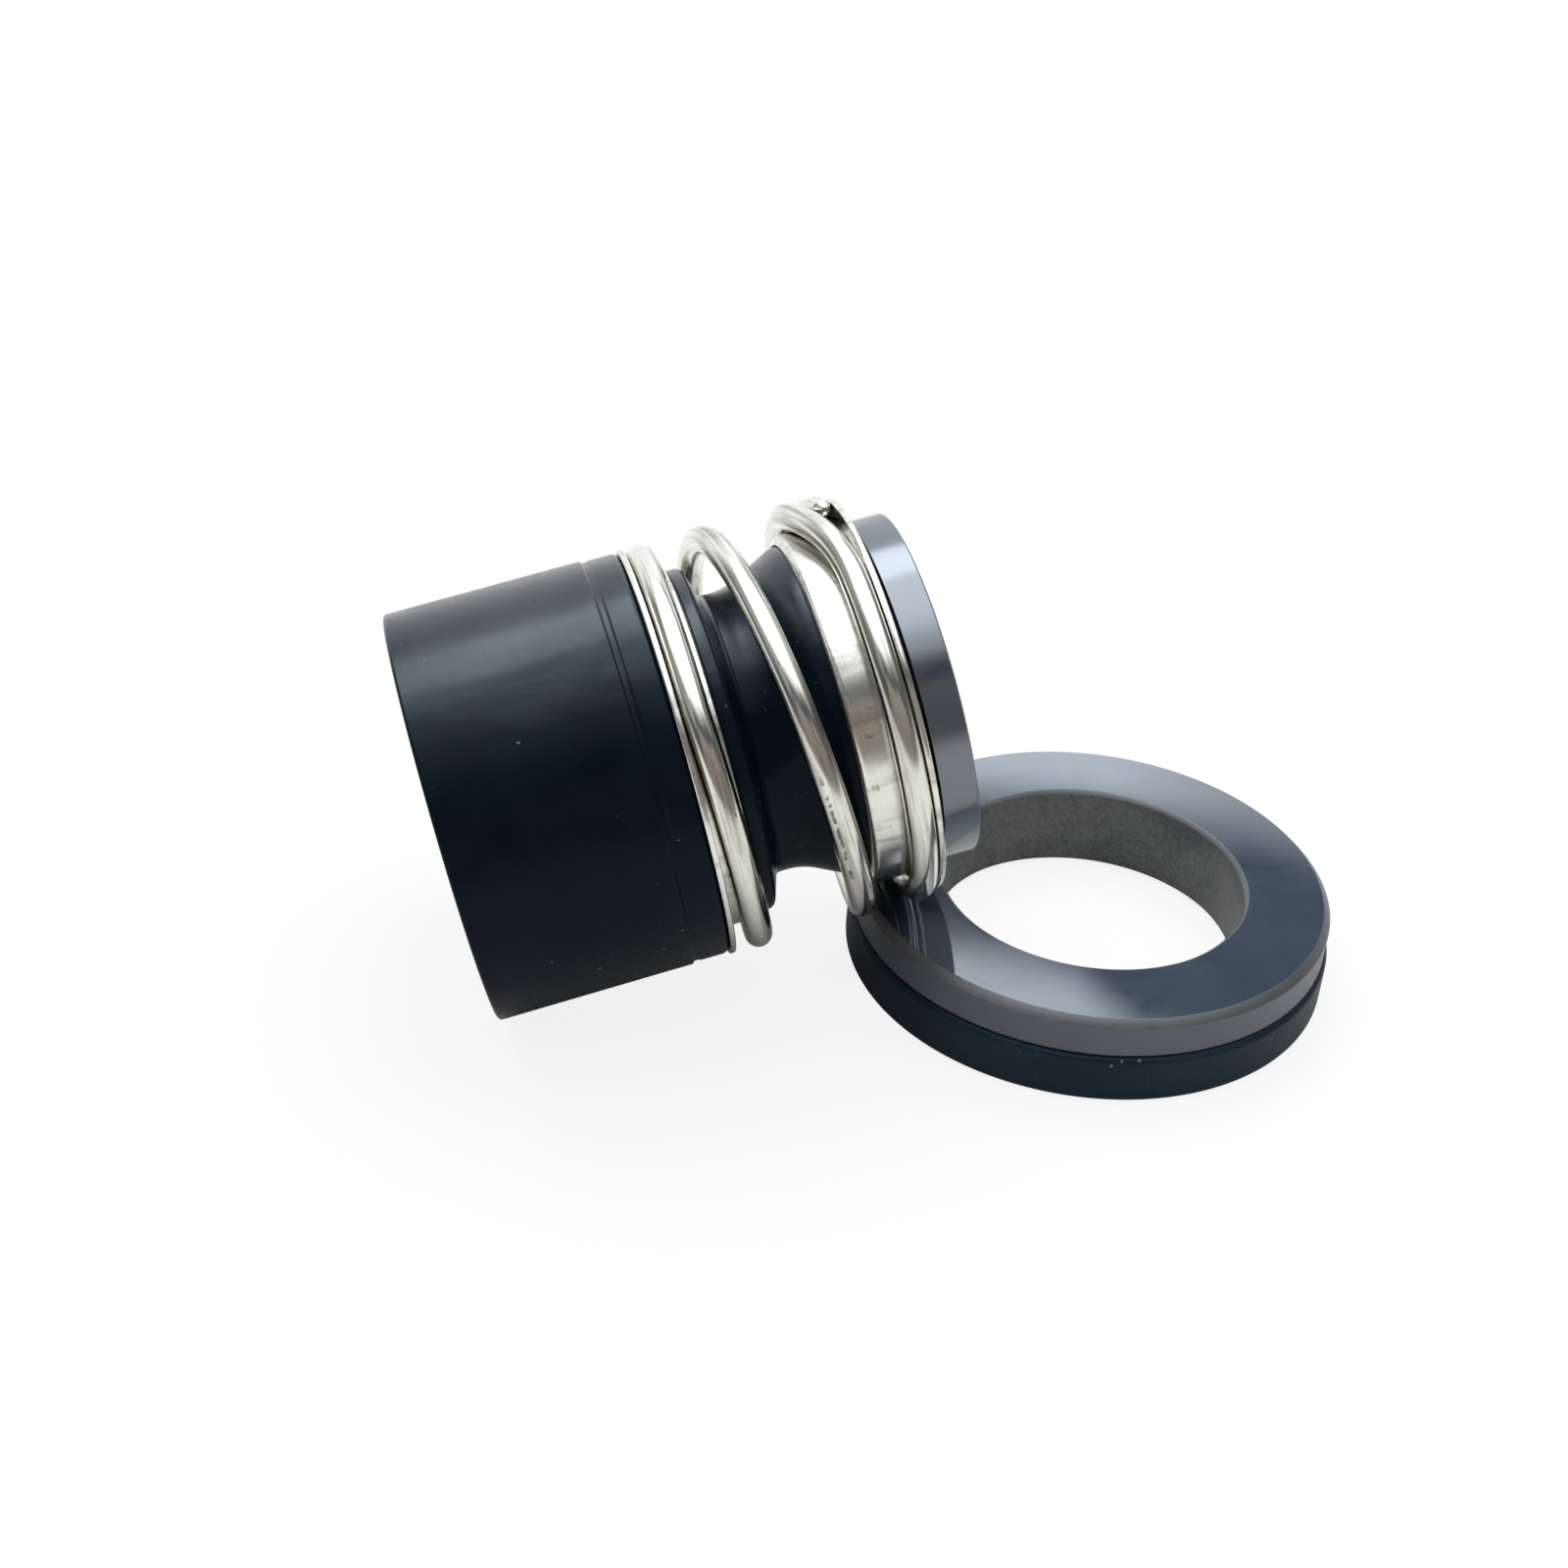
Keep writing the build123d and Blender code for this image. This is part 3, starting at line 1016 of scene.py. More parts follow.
@dataclass
class PressedCollars:
    """The tail collar and the drive collar, pressed from thin sheet."""

    place: Placement
    sheet: float = 0.0005
    leg_radius: float = 0.0144
    edge_radius: float = 0.00018
    tail_flange_start: float = 0.01875
    tail_flange_radius: float = 0.01655
    tail_leg_end: float = 0.02195
    drive_flange_radius: float = 0.0161
    drive_flange_start: float = 0.0358
    drive_leg_start: float = 0.03095
    curl_radius: float = 0.00063
    hook_radius: float = 0.0137
    hook_edge: float = 0.00006
    inner_bend: float = 0.00012
    mouth_bend: float = 0.00015

    def tail_section(self) -> List[Corner]:
        """Half section of the tail collar: a flange and a short leg."""
        bore = self.leg_radius - self.sheet
        front = self.tail_flange_start + self.sheet
        return [
            Corner(bore, self.tail_flange_start),
            Corner(self.tail_flange_radius, self.tail_flange_start, self.edge_radius, 6),
            Corner(self.tail_flange_radius, front, self.edge_radius, 6),
            Corner(self.leg_radius, front, self.inner_bend, 3),
            Corner(self.leg_radius, self.tail_leg_end, self.edge_radius, 6),
            Corner(bore, self.tail_leg_end, self.edge_radius, 6),
        ]

    def drive_section(self) -> List[Corner]:
        """Half section of the drive collar: a rolled-in edge, a wide leg and a flange."""
        bore = self.leg_radius - self.sheet
        front = self.drive_flange_start + self.sheet
        return [
            Corner(self.hook_radius, self.drive_leg_start, self.hook_edge, 2),
            Corner(self.leg_radius, self.drive_leg_start, self.curl_radius, 12),
            Corner(self.leg_radius, self.drive_flange_start, self.inner_bend, 3),
            Corner(self.drive_flange_radius, self.drive_flange_start, self.edge_radius, 6),
            Corner(self.drive_flange_radius, front, self.edge_radius, 6),
            Corner(bore, front, self.mouth_bend, 3),
            Corner(bore, self.drive_leg_start + self.sheet, self.curl_radius - self.sheet, 4),
            Corner(self.hook_radius, self.drive_leg_start + self.sheet),
        ]

    def build(self, steel: PressedSteel) -> List[bpy.types.Object]:
        """Build and dress both collars.

        Args:
            steel: Their finish.

        Returns:
            The tail collar and the drive collar.
        """
        tail = turned("tail_collar_pressing", self.tail_section(), self.place)
        drive = turned("drive_collar_pressing", self.drive_section(), self.place)
        material = steel.make(self.place)
        for piece, node, body in (
            (tail, "tail_collar", Body.TAIL_AND_SEAT),
            (drive, "drive_collar", Body.FACE_CARRIER),
        ):
            dress(piece, [material])
            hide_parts(node)
            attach(piece, body.value)
        return [tail, drive]


@dataclass
class CoilSpring:
    """Compression spring of round wire, which lies on both collars and climbs between them.

    Attributes:
        place: Frame of the head.
        wire_radius: Radius of the wire.
        coil_radius: Radius of the coil, at the wire's middle.
        first_station: Station of the wire's middle on the tail collar.
        last_station: Station of the wire's middle on the drive collar.
        tail_turns: Turns that lie on the tail collar.
        active_turns: Turns that climb from one collar to the other.
        face_turns: Turns that close on the drive collar.
        end_pitch_share: Share of the pitch with which the climb starts and ends.
        step_turns: Turns over which the wire steps up past its own end.
        step_clearance: Gap between the wire and its own end at the step.
        step_lead: How much sooner than one turn before its end the wire steps up, in turns.
        start_angle: Where the wire starts, from underneath towards +Y.
        rings_per_turn: Rings of the mesh in each turn.
        facets: Facets round the wire.
        end_break: Broken edge at the wire's start.
        slope_step: Turns to either side between which the wire's slope is read.
        tip_reach: Turns that the drawn tip runs on past the end of the closed turn.
        tip_turns: Turns over which the tip thins.
        tip_taper: Share of the wire's radius that the tip loses.
        tip_round: Length over which the tip's end is rounded.
        tip_rings: Places of the rings in that rounding, as shares of its length from the end.
        tip_outward: Share of the tip's offset that leads outward.
        tip_least: Square of the share of the radius that is left at the very end.
    """

    place: Placement
    wire_radius: float = 0.0011
    coil_radius: float = 0.0156
    first_station: float = 0.02038
    last_station: float = 0.03467
    tail_turns: float = 0.46
    active_turns: float = 1.75
    face_turns: float = 1.05
    end_pitch_share: float = 0.5
    step_turns: float = 0.15
    step_clearance: float = 0.00005
    step_lead: float = 0.022
    start_angle: float = math.radians(62.0)
    rings_per_turn: int = 96
    facets: int = 40
    end_break: float = 0.00015
    slope_step: float = 0.0005
    tip_reach: float = 0.022
    tip_turns: float = 0.055
    tip_taper: float = 0.42
    tip_round: float = 0.0007
    tip_rings: Tuple[float, ...] = (1.0, 0.75, 0.5, 0.3, 0.15, 0.05)
    tip_outward: float = 0.3
    tip_least: float = 0.05

    def turns(self) -> float:
        """Turns from one end of the wire to the other."""
        return self.tail_turns + self.active_turns + self.face_turns

    def station(self, turn: float) -> float:
        """Station of the wire's centre.

        Args:
            turn: Turns from the wire's start.

        Returns:
            The station, which climbs between the collars and steps up past the wire's own end.
        """
        step = 2 * self.wire_radius + self.step_clearance
        climb = self.last_station - self.first_station - step
        climb_share = held((turn - self.tail_turns) / self.active_turns)
        step_share = held((turn - self.turns() + 1.0 + self.step_lead) / self.step_turns)
        swell = (1.0 - self.end_pitch_share) * math.sin(math.tau * climb_share) / math.tau
        stepped = (1.0 - math.cos(math.pi * step_share)) / 2
        return self.first_station + climb * (climb_share - swell) + step * stepped

    def drawn_turns(self) -> float:
        """Turns of the wire with its thinned tip, which lies along the flange."""
        return self.turns() + self.tip_reach

    def drawn_length(self) -> float:
        """Length of the drawn wire along its middle."""
        return math.tau * self.coil_radius * self.drawn_turns()

    def section_at(self, turn: float) -> Matrix:
        """Matrix that carries the wire's section, drawn round the origin, to its place.

        Args:
            turn: Turns from the wire's start.

        Returns:
            The matrix: the section's X points away from the axis and its Z along the wire.
        """
        step = self.slope_step
        climb = (self.station(turn + step) - self.station(turn - step)) / (2 * step * math.tau)
        slope = math.atan2(climb, self.coil_radius)
        turned_by = Matrix.Rotation(self.start_angle + math.tau * turn, 4, "Z")
        outward = Matrix.Translation((self.coil_radius, 0.0, self.station(turn)))
        upright = Matrix.Rotation(math.radians(-90.0) + slope, 4, "X")
        return turned_by @ outward @ upright

    def shape_at(self, share: float) -> Matrix:
        """Matrix that gives the wire's section its size, and its offset where the tip thins.

        Args:
            share: Place along the wire, from 0 to 1.

        Returns:
            The matrix: the section grows from its first size, and the tip keeps to the flange.
        """
        length = self.drawn_length()
        tip = held(1.0 - (1.0 - share) * self.drawn_turns() / self.tip_turns)
        nose = min((1.0 - share) * length / self.tip_round, 1.0)
        taper = self.tip_taper * tip * tip
        rounding = math.sqrt(max(1.0 - (1.0 - nose) ** 2, self.tip_least))
        radius = self.wire_radius * (1.0 - taper) * rounding
        if share < self.end_break / length / 2:
            radius -= self.end_break
        grow = radius / (self.wire_radius - self.end_break)
        offset = self.wire_radius * taper
        moved = Matrix.Translation((offset * self.tip_outward, -offset, 0.0))
        return moved @ Matrix.Diagonal((grow, grow, 1.0, 1.0))

    def ring_at(self, share: float) -> Matrix:
        """Matrix that gives the wire's section its size and carries it to its place.

        Args:
            share: Place along the wire, from 0 to 1.

        Returns:
            The matrix.
        """
        return self.section_at(share * self.drawn_turns()) @ self.shape_at(share)

    def ring_shares(self) -> List[float]:
        """Places of the mesh's rings along the wire, from 0 to 1, close together at its tip."""
        count = round(self.drawn_turns() * self.rings_per_turn)
        edge = self.end_break / self.drawn_length()
        tip = [1.0 - self.tip_round / self.drawn_length() * back for back in self.tip_rings]
        return [0.0, edge] + [index / count for index in range(1, count - 1)] + tip + [1.0]

    def sweep(self) -> bmesh.types.BMesh:
        """Draw the wire's section along the coil, ring by ring, and close its ends.

        Returns:
            The wire in the row frame, with each vertex's place on the straight wire kept in the
            attribute named WIRE_PLACE.
        """
        mesh = bmesh.new()
        on_wire = mesh.verts.layers.float_vector.new(WIRE_PLACE)
        first = self.wire_radius - self.end_break
        bmesh.ops.create_circle(mesh, cap_ends=False, radius=first, segments=self.facets)
        for vertex in mesh.verts:
            vertex[on_wire] = vertex.co
        front = mesh.edges[:]
        bmesh.ops.contextual_create(mesh, geom=front)
        bmesh.ops.transform(mesh, matrix=self.section_at(0.0), verts=mesh.verts[:])
        shares = self.ring_shares()
        for before, share in zip(shares, shares[1:]):
            swept = bmesh.ops.extrude_edge_only(mesh, edges=front)["geom"]
            front = [item for item in swept if isinstance(item, bmesh.types.BMEdge)]
            ring = [item for item in swept if isinstance(item, bmesh.types.BMVert)]
            carry = self.ring_at(share) @ self.ring_at(before).inverted()
            bmesh.ops.transform(mesh, matrix=carry, verts=ring)
            along = share * self.drawn_length()
            for vertex in ring:
                vertex[on_wire] = Vector((*vertex[on_wire].xy, along))
        bmesh.ops.contextual_create(mesh, geom=front)
        bmesh.ops.recalc_face_normals(mesh, faces=mesh.faces[:])
        bmesh.ops.transform(mesh, matrix=self.place.matrix(), verts=mesh.verts[:])
        return mesh

    def build(self, wire: DrawnWire) -> bpy.types.Object:
        """Build and dress the spring.

        Args:
            wire: Its finish.

        Returns:
            The spring.
        """
        piece = finished("spring_wire", self.sweep(), WIRE_CREASE)
        dress(piece, [wire.make()])
        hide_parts("spring")
        self.place.on_axis(self.first_station - self.wire_radius)
        self.place.on_axis(self.last_station + self.wire_radius)
        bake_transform(piece)
        return piece


@dataclass
class RotatingFace:
    """Face ring of the head, with its stem in the rubber pocket."""

    place: Placement
    radius: float = 0.01395
    bore: float = 0.0110
    stem_radius: float = 0.0127
    stem_back: float = 0.0317
    back: float = 0.0369
    front: float = 0.0398
    edge_break: float = 0.00012
    fine_edge: float = 0.00004
    back_edge: float = 0.00008
    stem_edge: float = 0.0001

    def section(self) -> List[Corner]:
        """Half section: a wide lapped head and a narrower stem."""
        edge, fine = self.edge_break, self.fine_edge
        return [
            Corner(self.bore, self.stem_back, self.stem_edge, 2),
            Corner(self.stem_radius, self.stem_back, self.stem_edge, 2),
            Corner(self.stem_radius, self.back),
            Corner(self.radius, self.back, self.back_edge, 2),
            Corner(self.radius, self.front - edge, fine, 2),
            Corner(self.radius - edge, self.front, fine, 2),
            Corner(self.bore + edge, self.front, fine, 2),
            Corner(self.bore, self.front - edge, fine, 2),
        ]

    def build(self, finishes: Sequence[Carbide]) -> bpy.types.Object:
        """Build and dress the ring.

        Args:
            finishes: Its finishes, in the order of the numbers in CarbideSurface.

        Returns:
            The face ring.
        """
        piece = turned("face_ring_body", self.section(), self.place)
        dress(piece, [finish.make(self.place) for finish in finishes])
        number_faces(piece, self.place, self.front, self.bore)
        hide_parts("face_ring")
        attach(piece, Body.FACE_CARRIER.value)
        return piece


# A face lies flat where more than FLAT_LIFT of its normal is along the axis. Above SLOPE_LIFT it
# is a chamfer, if it lies within RIM_DEPTH of the lapped face.
FLAT_LIFT = 0.98
SLOPE_LIFT = 0.15
RIM_DEPTH = 0.001
ON_SURFACE = 1e-5


def number_faces(piece: bpy.types.Object, place: Placement, front: float, bore: float) -> None:
    """Give a carbide ring's faces the numbers of CarbideSurface, by where they lie.

    Args:
        piece: The ring.
        place: Its own frame.
        front: Station of the lapped face.
        bore: Radius of the bore, which is left as pressed.
    """
    back = place.matrix().inverted()
    for face in piece.data.polygons:
        centre = back @ face.center
        lift = (back.to_3x3() @ face.normal).z
        if lift > FLAT_LIFT and abs(centre.z - front) < ON_SURFACE:
            surface = CarbideSurface.LAPPED
        elif SLOPE_LIFT < abs(lift) < FLAT_LIFT and centre.z > front - RIM_DEPTH:
            surface = CarbideSurface.CHAMFER
        elif math.hypot(centre.x, centre.y) < bore + ON_SURFACE:
            surface = CarbideSurface.AS_PRESSED
        else:
            surface = CarbideSurface.GROUND
        face.material_index = surface.value


# ---- Stationary seat ---------------------------------------------------------------------------


@dataclass
class StationarySeat:
    """The seat ring and the rubber gasket stretched over its nose."""

    place: Placement
    radius: float = 0.0200
    height: float = 0.0077
    top_chamfer: float = 0.0006
    lower_edge: float = 0.0002
    bore: float = 0.0128
    bore_chamfer: float = 0.00035
    shoulder: float = 0.0043
    nose_radius: float = 0.01743
    nose_clearance: float = 0.00025
    gasket_radius: float = 0.02033
    gasket_corner: float = 0.0006
    fine_edge: float = 0.00005
    nose_edge: float = 0.0001

    def ring_section(self) -> List[Corner]:
        """Half section of the seat ring."""
        fine = self.fine_edge
        return [
            Corner(self.bore, self.nose_clearance + self.bore_chamfer, fine, 2),
            Corner(self.bore + self.bore_chamfer, self.nose_clearance, fine, 2),
            Corner(self.nose_radius, self.nose_clearance, self.nose_edge, 2),
            Corner(self.nose_radius, self.shoulder),
            Corner(self.radius - self.lower_edge, self.shoulder, fine, 2),
            Corner(self.radius, self.shoulder + self.lower_edge, fine, 2),
            Corner(self.radius, self.height - self.top_chamfer, fine, 2),
            Corner(self.radius - self.top_chamfer, self.height, fine, 2),
            Corner(self.bore + self.bore_chamfer, self.height, fine, 2),
            Corner(self.bore, self.height - self.bore_chamfer, fine, 2),
        ]

    def gasket_section(self) -> List[Corner]:
        """Half section of the gasket."""
        return [
            Corner(self.nose_radius, 0.0),
            Corner(self.gasket_radius, 0.0, self.gasket_corner, 8),
            Corner(self.gasket_radius, self.shoulder, self.gasket_corner, 8),
            Corner(self.nose_radius, self.shoulder),
        ]

    def build(self, finishes: Sequence[Carbide], rubber: MouldedRubber) -> List[bpy.types.Object]:
        """Build and dress the seat and its gasket.

        Args:
            finishes: Finishes of the ring, in the order of the numbers in CarbideSurface.
            rubber: Finish of the gasket.

        Returns:
            The seat ring and the gasket.
        """
        ring = turned("seat_ring_body", self.ring_section(), self.place)
        dress(ring, [finish.make(self.place) for finish in finishes])
        number_faces(ring, self.place, self.height, self.bore)
        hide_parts("seat_ring")
        gasket = turned("gasket_ring", self.gasket_section(), self.place)
        dress(gasket, [rubber.make(self.place)])
        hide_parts("seat_gasket")
        for piece in (ring, gasket):
            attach(piece, Body.TAIL_AND_SEAT.value)
        return [ring, gasket]


# ---- Studio ------------------------------------------------------------------------------------


@dataclass(frozen=True)
class SoftBox:
    """A rectangular lamp.

    Attributes:
        name: Name of the lamp.
        where: Its place.
        aim: The point that it faces.
        size: Its two sides.
        power: Its power in watts.
        colour: Its colour.
    """

    name: str
    where: Point
    aim: Point
    size: Tuple[float, float]
    power: float
    colour: Colour

    def make(self) -> bpy.types.Object:
        """Put the lamp in the scene."""
        data = bpy.data.lights.new(self.name, "AREA")
        data.shape = "RECTANGLE"
        data.size, data.size_y = self.size
        data.energy = self.power
        data.color = self.colour
        lamp = bpy.data.objects.new(self.name, data)
        lamp.location = self.where
        towards = Vector(self.aim) - Vector(self.where)
        lamp.rotation_euler = towards.to_track_quat("-Z", "Y").to_euler()
        bpy.context.scene.collection.objects.link(lamp)
        return lamp


# Heights in the room run from LOWEST over HEIGHT_RANGE, in degrees, where a ramp reads 0 to 1.
LOWEST = -30.0
HEIGHT_RANGE = 120.0
WARM: Colour = (1.0, 0.9, 0.8)
PLAIN: Colour = (1.0, 1.0, 1.0)
COOL: Colour = (1.0, 1.045, 1.075)
BAR_TINT: Colour = (0.88, 1.0, 1.15)


@dataclass(frozen=True)
class Side:
    """One side of the room round the pair, even from its start to its end.

    Attributes:
        start: Where it starts, in degrees clockwise from +Y.
        end: Where it ends. The next side blends in from there.
        tint: Colour of its light.
        low: Its level near the horizon.
        high: Its level under the ceiling light.
        ceiling: Height of the ceiling light's edge above the horizon, in degrees.
        bar: Height of the dark bar's middle, in degrees.
        half: Half the bar's height, in degrees, below zero where there is no bar.
        bar_level: Level of the bar.
    """

    start: float
    end: float
    tint: Colour
    low: float
    high: float
    ceiling: float
    bar: float
    half: float = -2.0
    bar_level: float = 0.12

    def low_colour(self) -> Colour:
        """Colour near the horizon."""
        return tuple(part * self.low for part in self.tint)

    def high_colour(self) -> Colour:
        """Colour under the ceiling light."""
        return tuple(part * self.high for part in self.tint)

    def heights(self) -> Colour:
        """The three heights, moved into the range that a ramp takes."""
        heights = (self.ceiling, self.bar, self.half)
        return tuple((height - LOWEST) / HEIGHT_RANGE for height in heights)

    def bar_colour(self) -> Colour:
        """Colour of the bar."""
        return tuple(part * self.bar_level for part in BAR_TINT)


ROOM: Tuple[Side, ...] = (
    Side(140.0, -145.0, WARM, 0.28, 0.34, 51.0, 40.0, 5.0),
    Side(-130.0, -112.0, PLAIN, 0.20, 0.44, 45.5, 13.0, 8.0),
    Side(-95.0, -50.0, PLAIN, 0.30, 0.42, 41.5, 20.0),
    Side(-32.0, 12.0, COOL, 1.10, 1.20, 43.5, 34.5),
    Side(18.0, 25.0, COOL, 1.15, 2.0, 38.0, 34.5, 2.0, 0.16),
    Side(30.0, 48.0, COOL, 0.90, 0.95, 39.0, 36.0, 3.5, 0.16),
    Side(72.0, 108.0, PLAIN, 0.18, 0.36, 38.5, 17.0, 11.0),
)


def round_ramp(g: TreeCalls, turn: Socket, read: Callable[[Side], Colour]) -> Socket:
    """A colour of the room's sides, by the direction round the pair.

    Args:
        g: Calls on the world's tree.
        turn: The direction, as a share of a whole turn.
        read: Reads the colour of one side.

    Returns:
        The colour output.
    """
    stops = []
    for side in ROOM:
        stops += [(0.5 + bearing / 360.0, read(side)) for bearing in (side.start, side.end)]
    return g.ramp(turn, sorted(stops))


@dataclass
class Studio:
    """Pale floor, surroundings, one soft lamp and the camera.

    Attributes:
        camera_place: Where the camera stands.
        look: The direction that it looks in.
        roll: How far it is turned about that direction.
        lens: Its focal length, in millimetres.
        sensor: Width of its sensor, in millimetres.
        clip: Nearest and farthest distance that it shows.
        floor_half: Half the floor's side.
        floor_white: Colour of the floor under the pair.
        floor_far: Colour of the floor in front of it, which only reflections show.
        floor_fade: Places along Y between which the one goes over into the other.
        floor_seen: Share of plain white in the floor as the camera sees it.
        wall_heights: Heights between which a wall goes over from low to high, in degrees.
        ceiling_blend: Heights round the ceiling's edge between which it begins, in degrees.
        bar_blend: The same for the dark bar's edge.
        ceiling_middle: Direction of the ceiling's brightest place.
        ceiling_reach: Cosines of the angles from there at which it is dim and bright.
        ceiling_dim: Colour of the dim part.
        ceiling_bright: Colour of the bright part.
        overhead: The lamp.
    """

    camera_place: Point = (-0.050155, -0.146124, 0.117086)
    look: Direction = (0.229267, 0.80864, -0.541791)
    roll: float = math.radians(3.9811)
    lens: float = 52.475
    sensor: float = 36.0
    clip: Span = (0.005, 50.0)
    floor_half: float = 6.0
    floor_white: Colour = (0.70, 0.685, 0.655)
    floor_far: Colour = (0.30, 0.28, 0.26)
    floor_fade: Span = (-0.50, -0.13)
    floor_seen: float = 0.86
    wall_heights: Span = (10.0, 30.0)
    ceiling_blend: Span = (-4.0, 5.0)
    bar_blend: Span = (0.9, -0.9)
    ceiling_middle: Direction = (-0.0181, 0.2071, 0.9781)
    ceiling_reach: Span = (math.cos(math.radians(45.0)), math.cos(math.radians(18.0)))
    ceiling_dim: Colour = (1.40, 1.47, 1.53)
    ceiling_bright: Colour = (2.95, 3.10, 3.20)
    overhead: SoftBox = SoftBox(
        name="overhead_box",
        where=(-0.12, 0.33, 0.62),
        aim=(-0.01, 0.0, 0.015),
        size=(0.42, 0.30),
        power=0.72,
        colour=(0.93, 0.97, 1.0),
    )

    def build_floor(self) -> bpy.types.Object:
        """A wide pale floor that shows white and keeps the object's shadow."""
        mesh = bmesh.new()
        bmesh.ops.create_grid(mesh, x_segments=1, y_segments=1, size=self.floor_half)
        data = bpy.data.meshes.new("floor")
        mesh.to_mesh(data)
        mesh.free()
        floor = bpy.data.objects.new("floor", data)
        bpy.context.scene.collection.objects.link(floor)
        material = bpy.data.materials.new("pale_floor")
        material.use_nodes = True
        g = TreeCalls(material.node_tree)
        material.node_tree.nodes.clear()
        paint = g.add("ShaderNodeBsdfDiffuse")
        _, along, _ = g.split(g.add("ShaderNodeTexCoord").outputs["Object"])
        near = g.span(along, *self.floor_fade)
        g.link(g.mix(near, self.floor_far, self.floor_white), paint.inputs["Color"])
        glow = g.add("ShaderNodeEmission")
        glow.inputs["Strength"].default_value = 1.0
        seen = g.add("ShaderNodeLightPath").outputs["Is Camera Ray"]
        share = g.times(seen, self.floor_seen)
        blend = g.add("ShaderNodeMixShader")
        g.link(share, blend.inputs[0])
        g.link(paint.outputs[0], blend.inputs[1])
        g.link(glow.outputs[0], blend.inputs[2])
        g.link(blend.outputs[0], g.add("ShaderNodeOutputMaterial").inputs["Surface"])
        data.materials.append(material)
        return floor

    def room_colour(self, g: TreeCalls) -> Socket:
        """Colour of the room, by the direction round it and the height above the horizon.

        A wide ceiling light lies over everything, a bright panel stands behind the pair, a dimmer
        room lies before it, and a dark bar runs between the walls and the ceiling.

        Args:
            g: Calls on the world's tree.

        Returns:
            The colour output.
        """
        looked = g.add("ShaderNodeTexCoord").outputs["Generated"]
        east, north, up = g.split(looked)
        height = g.times(g.calc("ARCSINE", up), 180.0 / math.pi)
        turn = g.calc("MULTIPLY_ADD", g.calc("ARCTAN2", east, north), 1.0 / math.tau, 0.5)

        low = round_ramp(g, turn, Side.low_colour)
        high = round_ramp(g, turn, Side.high_colour)
        walls = g.mix(g.span(height, *self.wall_heights, smooth=True), low, high)

        heights = g.add("ShaderNodeSeparateColor")
        g.link(round_ramp(g, turn, Side.heights), heights.inputs[0])
        ceiling, bar, half = (
            g.calc("MULTIPLY_ADD", part, HEIGHT_RANGE, LOWEST) for part in heights.outputs[:3]
        )
        crown = g.add("ShaderNodeVectorMath", operation="DOT_PRODUCT")
        g.link(looked, crown.inputs[0])
        crown.inputs[1].default_value = self.ceiling_middle
        lamp = g.span(crown.outputs["Value"], *self.ceiling_reach, smooth=True)
        light = g.mix(lamp, self.ceiling_dim, self.ceiling_bright)
        over = g.span(g.calc("SUBTRACT", height, ceiling), *self.ceiling_blend, smooth=True)
        room = g.mix(over, walls, light)

        off_bar = g.calc("SUBTRACT", g.calc("ABSOLUTE", g.calc("SUBTRACT", height, bar)), half)
        inside = g.span(off_bar, *self.bar_blend, smooth=True)
        return g.mix(inside, room, round_ramp(g, turn, Side.bar_colour))

    def build_surroundings(self) -> None:
        """The world: white where the camera looks past the pair, the room for everything else."""
        world = bpy.data.worlds.new("surroundings")
        bpy.context.scene.world = world
        world.use_nodes = True
        g = TreeCalls(world.node_tree)
        world.node_tree.nodes.clear()
        sky = g.add("ShaderNodeBackground")
        g.link(self.room_colour(g), sky.inputs["Color"])
        white = g.add("ShaderNodeBackground")
        white.inputs["Color"].default_value = (1.0, 1.0, 1.0, 1.0)
        chosen = g.add("ShaderNodeMixShader")
        g.link(g.add("ShaderNodeLightPath").outputs["Is Camera Ray"], chosen.inputs[0])
        g.link(sky.outputs[0], chosen.inputs[1])
        g.link(white.outputs[0], chosen.inputs[2])
        g.link(chosen.outputs[0], g.add("ShaderNodeOutputWorld").inputs["Surface"])

    def build_camera(self) -> bpy.types.Object:
        """The camera, turned to look along its line with a slight roll.

        Returns:
            The camera, which is made the scene's own.
        """
        data = bpy.data.cameras.new("camera")
        data.lens = self.lens
        data.sensor_width = self.sensor
        data.clip_start, data.clip_end = self.clip
        camera = bpy.data.objects.new("camera", data)
        forward = Vector(self.look).normalized()
        level = forward.cross(Vector((0.0, 0.0, 1.0))).normalized()
        upright = level.cross(forward)
        right = level * math.cos(self.roll) + upright * math.sin(self.roll)
        up = upright * math.cos(self.roll) - level * math.sin(self.roll)
        rotation = Matrix((right, up, -forward)).transposed()
        camera.matrix_world = Matrix.Translation(self.camera_place) @ rotation.to_4x4()
        bpy.context.scene.collection.objects.link(camera)
        bpy.context.scene.camera = camera
        return camera

    def build(self) -> None:
        """Build the whole studio and set the plain colour view."""
        self.build_floor()
        self.build_surroundings()
        self.overhead.make()
        self.build_camera()
        bpy.context.scene.view_settings.view_transform = "Standard"


# ---- The whole pair ----------------------------------------------------------------------------


# Darker and lighter grains of the carbide, by how its surface was finished.
LAPPED_GREY = ((0.016, 0.025, 0.040), (0.028, 0.039, 0.059))
GROUND_GREY = ((0.018, 0.023, 0.038), (0.034, 0.040, 0.060))
PRESSED_GREY = ((0.012, 0.012, 0.012), (0.112, 0.106, 0.100))
FACE_EDGE_GREY = ((0.055, 0.057, 0.062), (0.100, 0.102, 0.108))
SEAT_EDGE_GREY = ((0.040, 0.039, 0.039), (0.078, 0.076, 0.075))

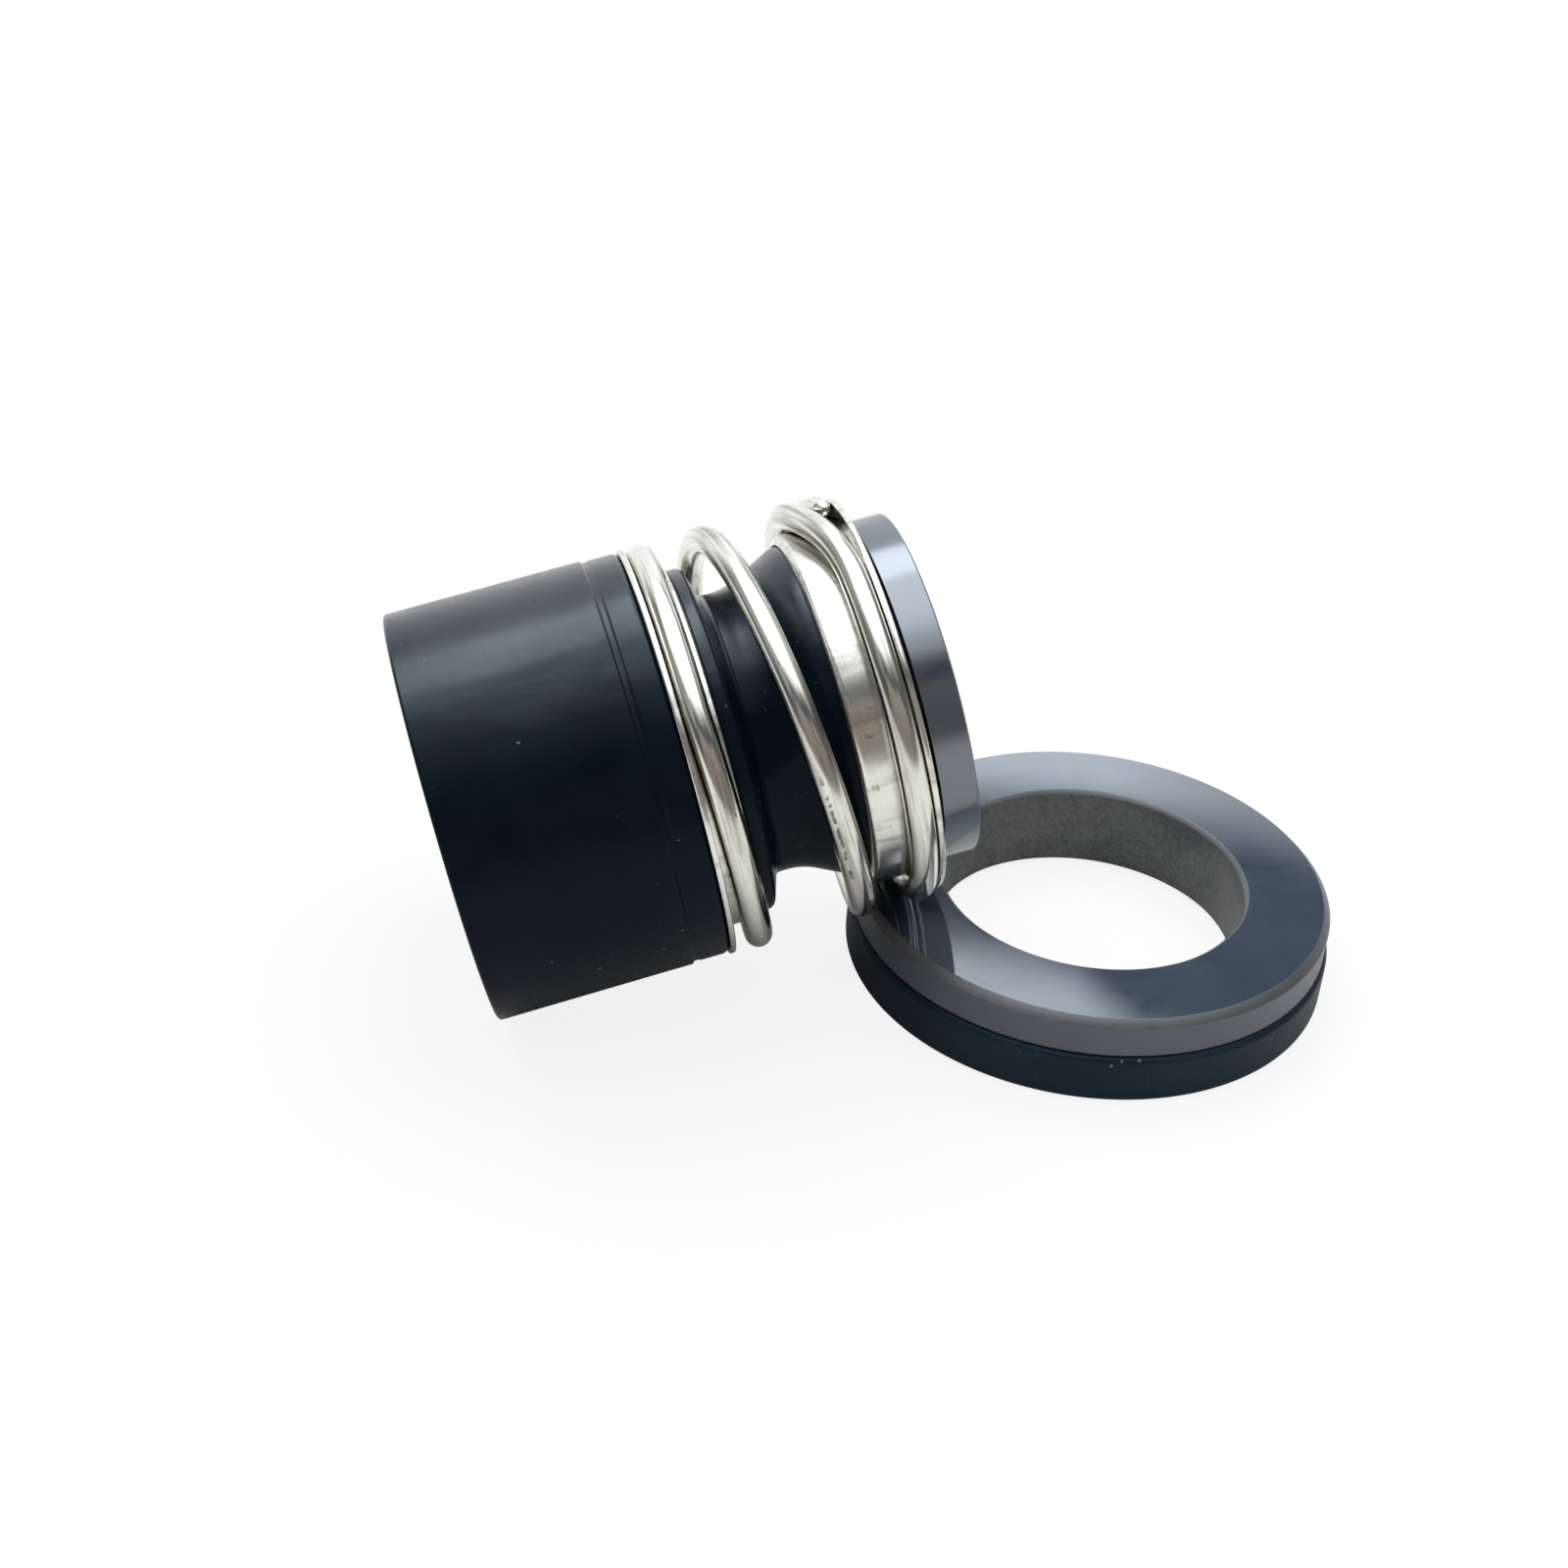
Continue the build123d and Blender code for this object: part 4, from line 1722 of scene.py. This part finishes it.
FACE_FINISHES = (
    Carbide("face_lapped", CarbideSurface.LAPPED, *LAPPED_GREY, 0.08, 0.0000004),
    Carbide("face_ground", CarbideSurface.GROUND, *GROUND_GREY, 0.17, 0.0000020, 0.42),
    Carbide("face_bore", CarbideSurface.AS_PRESSED, *PRESSED_GREY, 0.5, 0.0000040, 0.25),
    Carbide("face_chamfer", CarbideSurface.CHAMFER, *FACE_EDGE_GREY, 0.35, 0.0000030, 0.3),
)
SEAT_FINISHES = (
    Carbide("seat_lapped", CarbideSurface.LAPPED, *LAPPED_GREY, 0.05, 0.0000002),
    Carbide("seat_ground", CarbideSurface.GROUND, *GROUND_GREY, 0.42, 0.0000030, 0.22),
    Carbide("seat_bore", CarbideSurface.AS_PRESSED, *PRESSED_GREY, 0.55, 0.0000040, 0.20),
    Carbide("seat_chamfer", CarbideSurface.CHAMFER, *SEAT_EDGE_GREY, 0.40, 0.0000030, 0.22),
)
BELLOWS_RUBBER = MouldedRubber("bellows_rubber")
GASKET_RUBBER = MouldedRubber(
    "gasket_rubber",
    dark=(0.0060, 0.0150, 0.0245),
    bloom=(0.0100, 0.0215, 0.0340),
    roughness=0.42,
    sheen=0.12,
    # The gasket's painted sheen is set level with its clean sheen, so no painted sheen shows on it.
    painted_top_sheen=0.12,
)
COLLAR_STEEL = PressedSteel("collar_steel")
SPRING_STEEL = DrawnWire("spring_steel")


def main() -> None:
    """Build every piece of the pair and then the studio, in order."""
    logging.basicConfig(level=logging.INFO, format="%(name)s: %(message)s")
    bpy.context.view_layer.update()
    head = head_placement(BORE_MIDDLE)
    seat = seat_placement()

    pieces = [RubberBellows(head).build(BELLOWS_RUBBER)]
    pieces += PressedCollars(head).build(COLLAR_STEEL)
    pieces.append(CoilSpring(head).build(SPRING_STEEL))
    pieces.append(RotatingFace(head).build(FACE_FINISHES))
    pieces += StationarySeat(seat).build(SEAT_FINISHES, GASKET_RUBBER)
    for piece in pieces:
        LOG.info("%s: %d faces", piece.name, len(piece.data.polygons))
    Studio().build()
    LOG.info("studio ready")


if __name__ == "__main__":
    main()
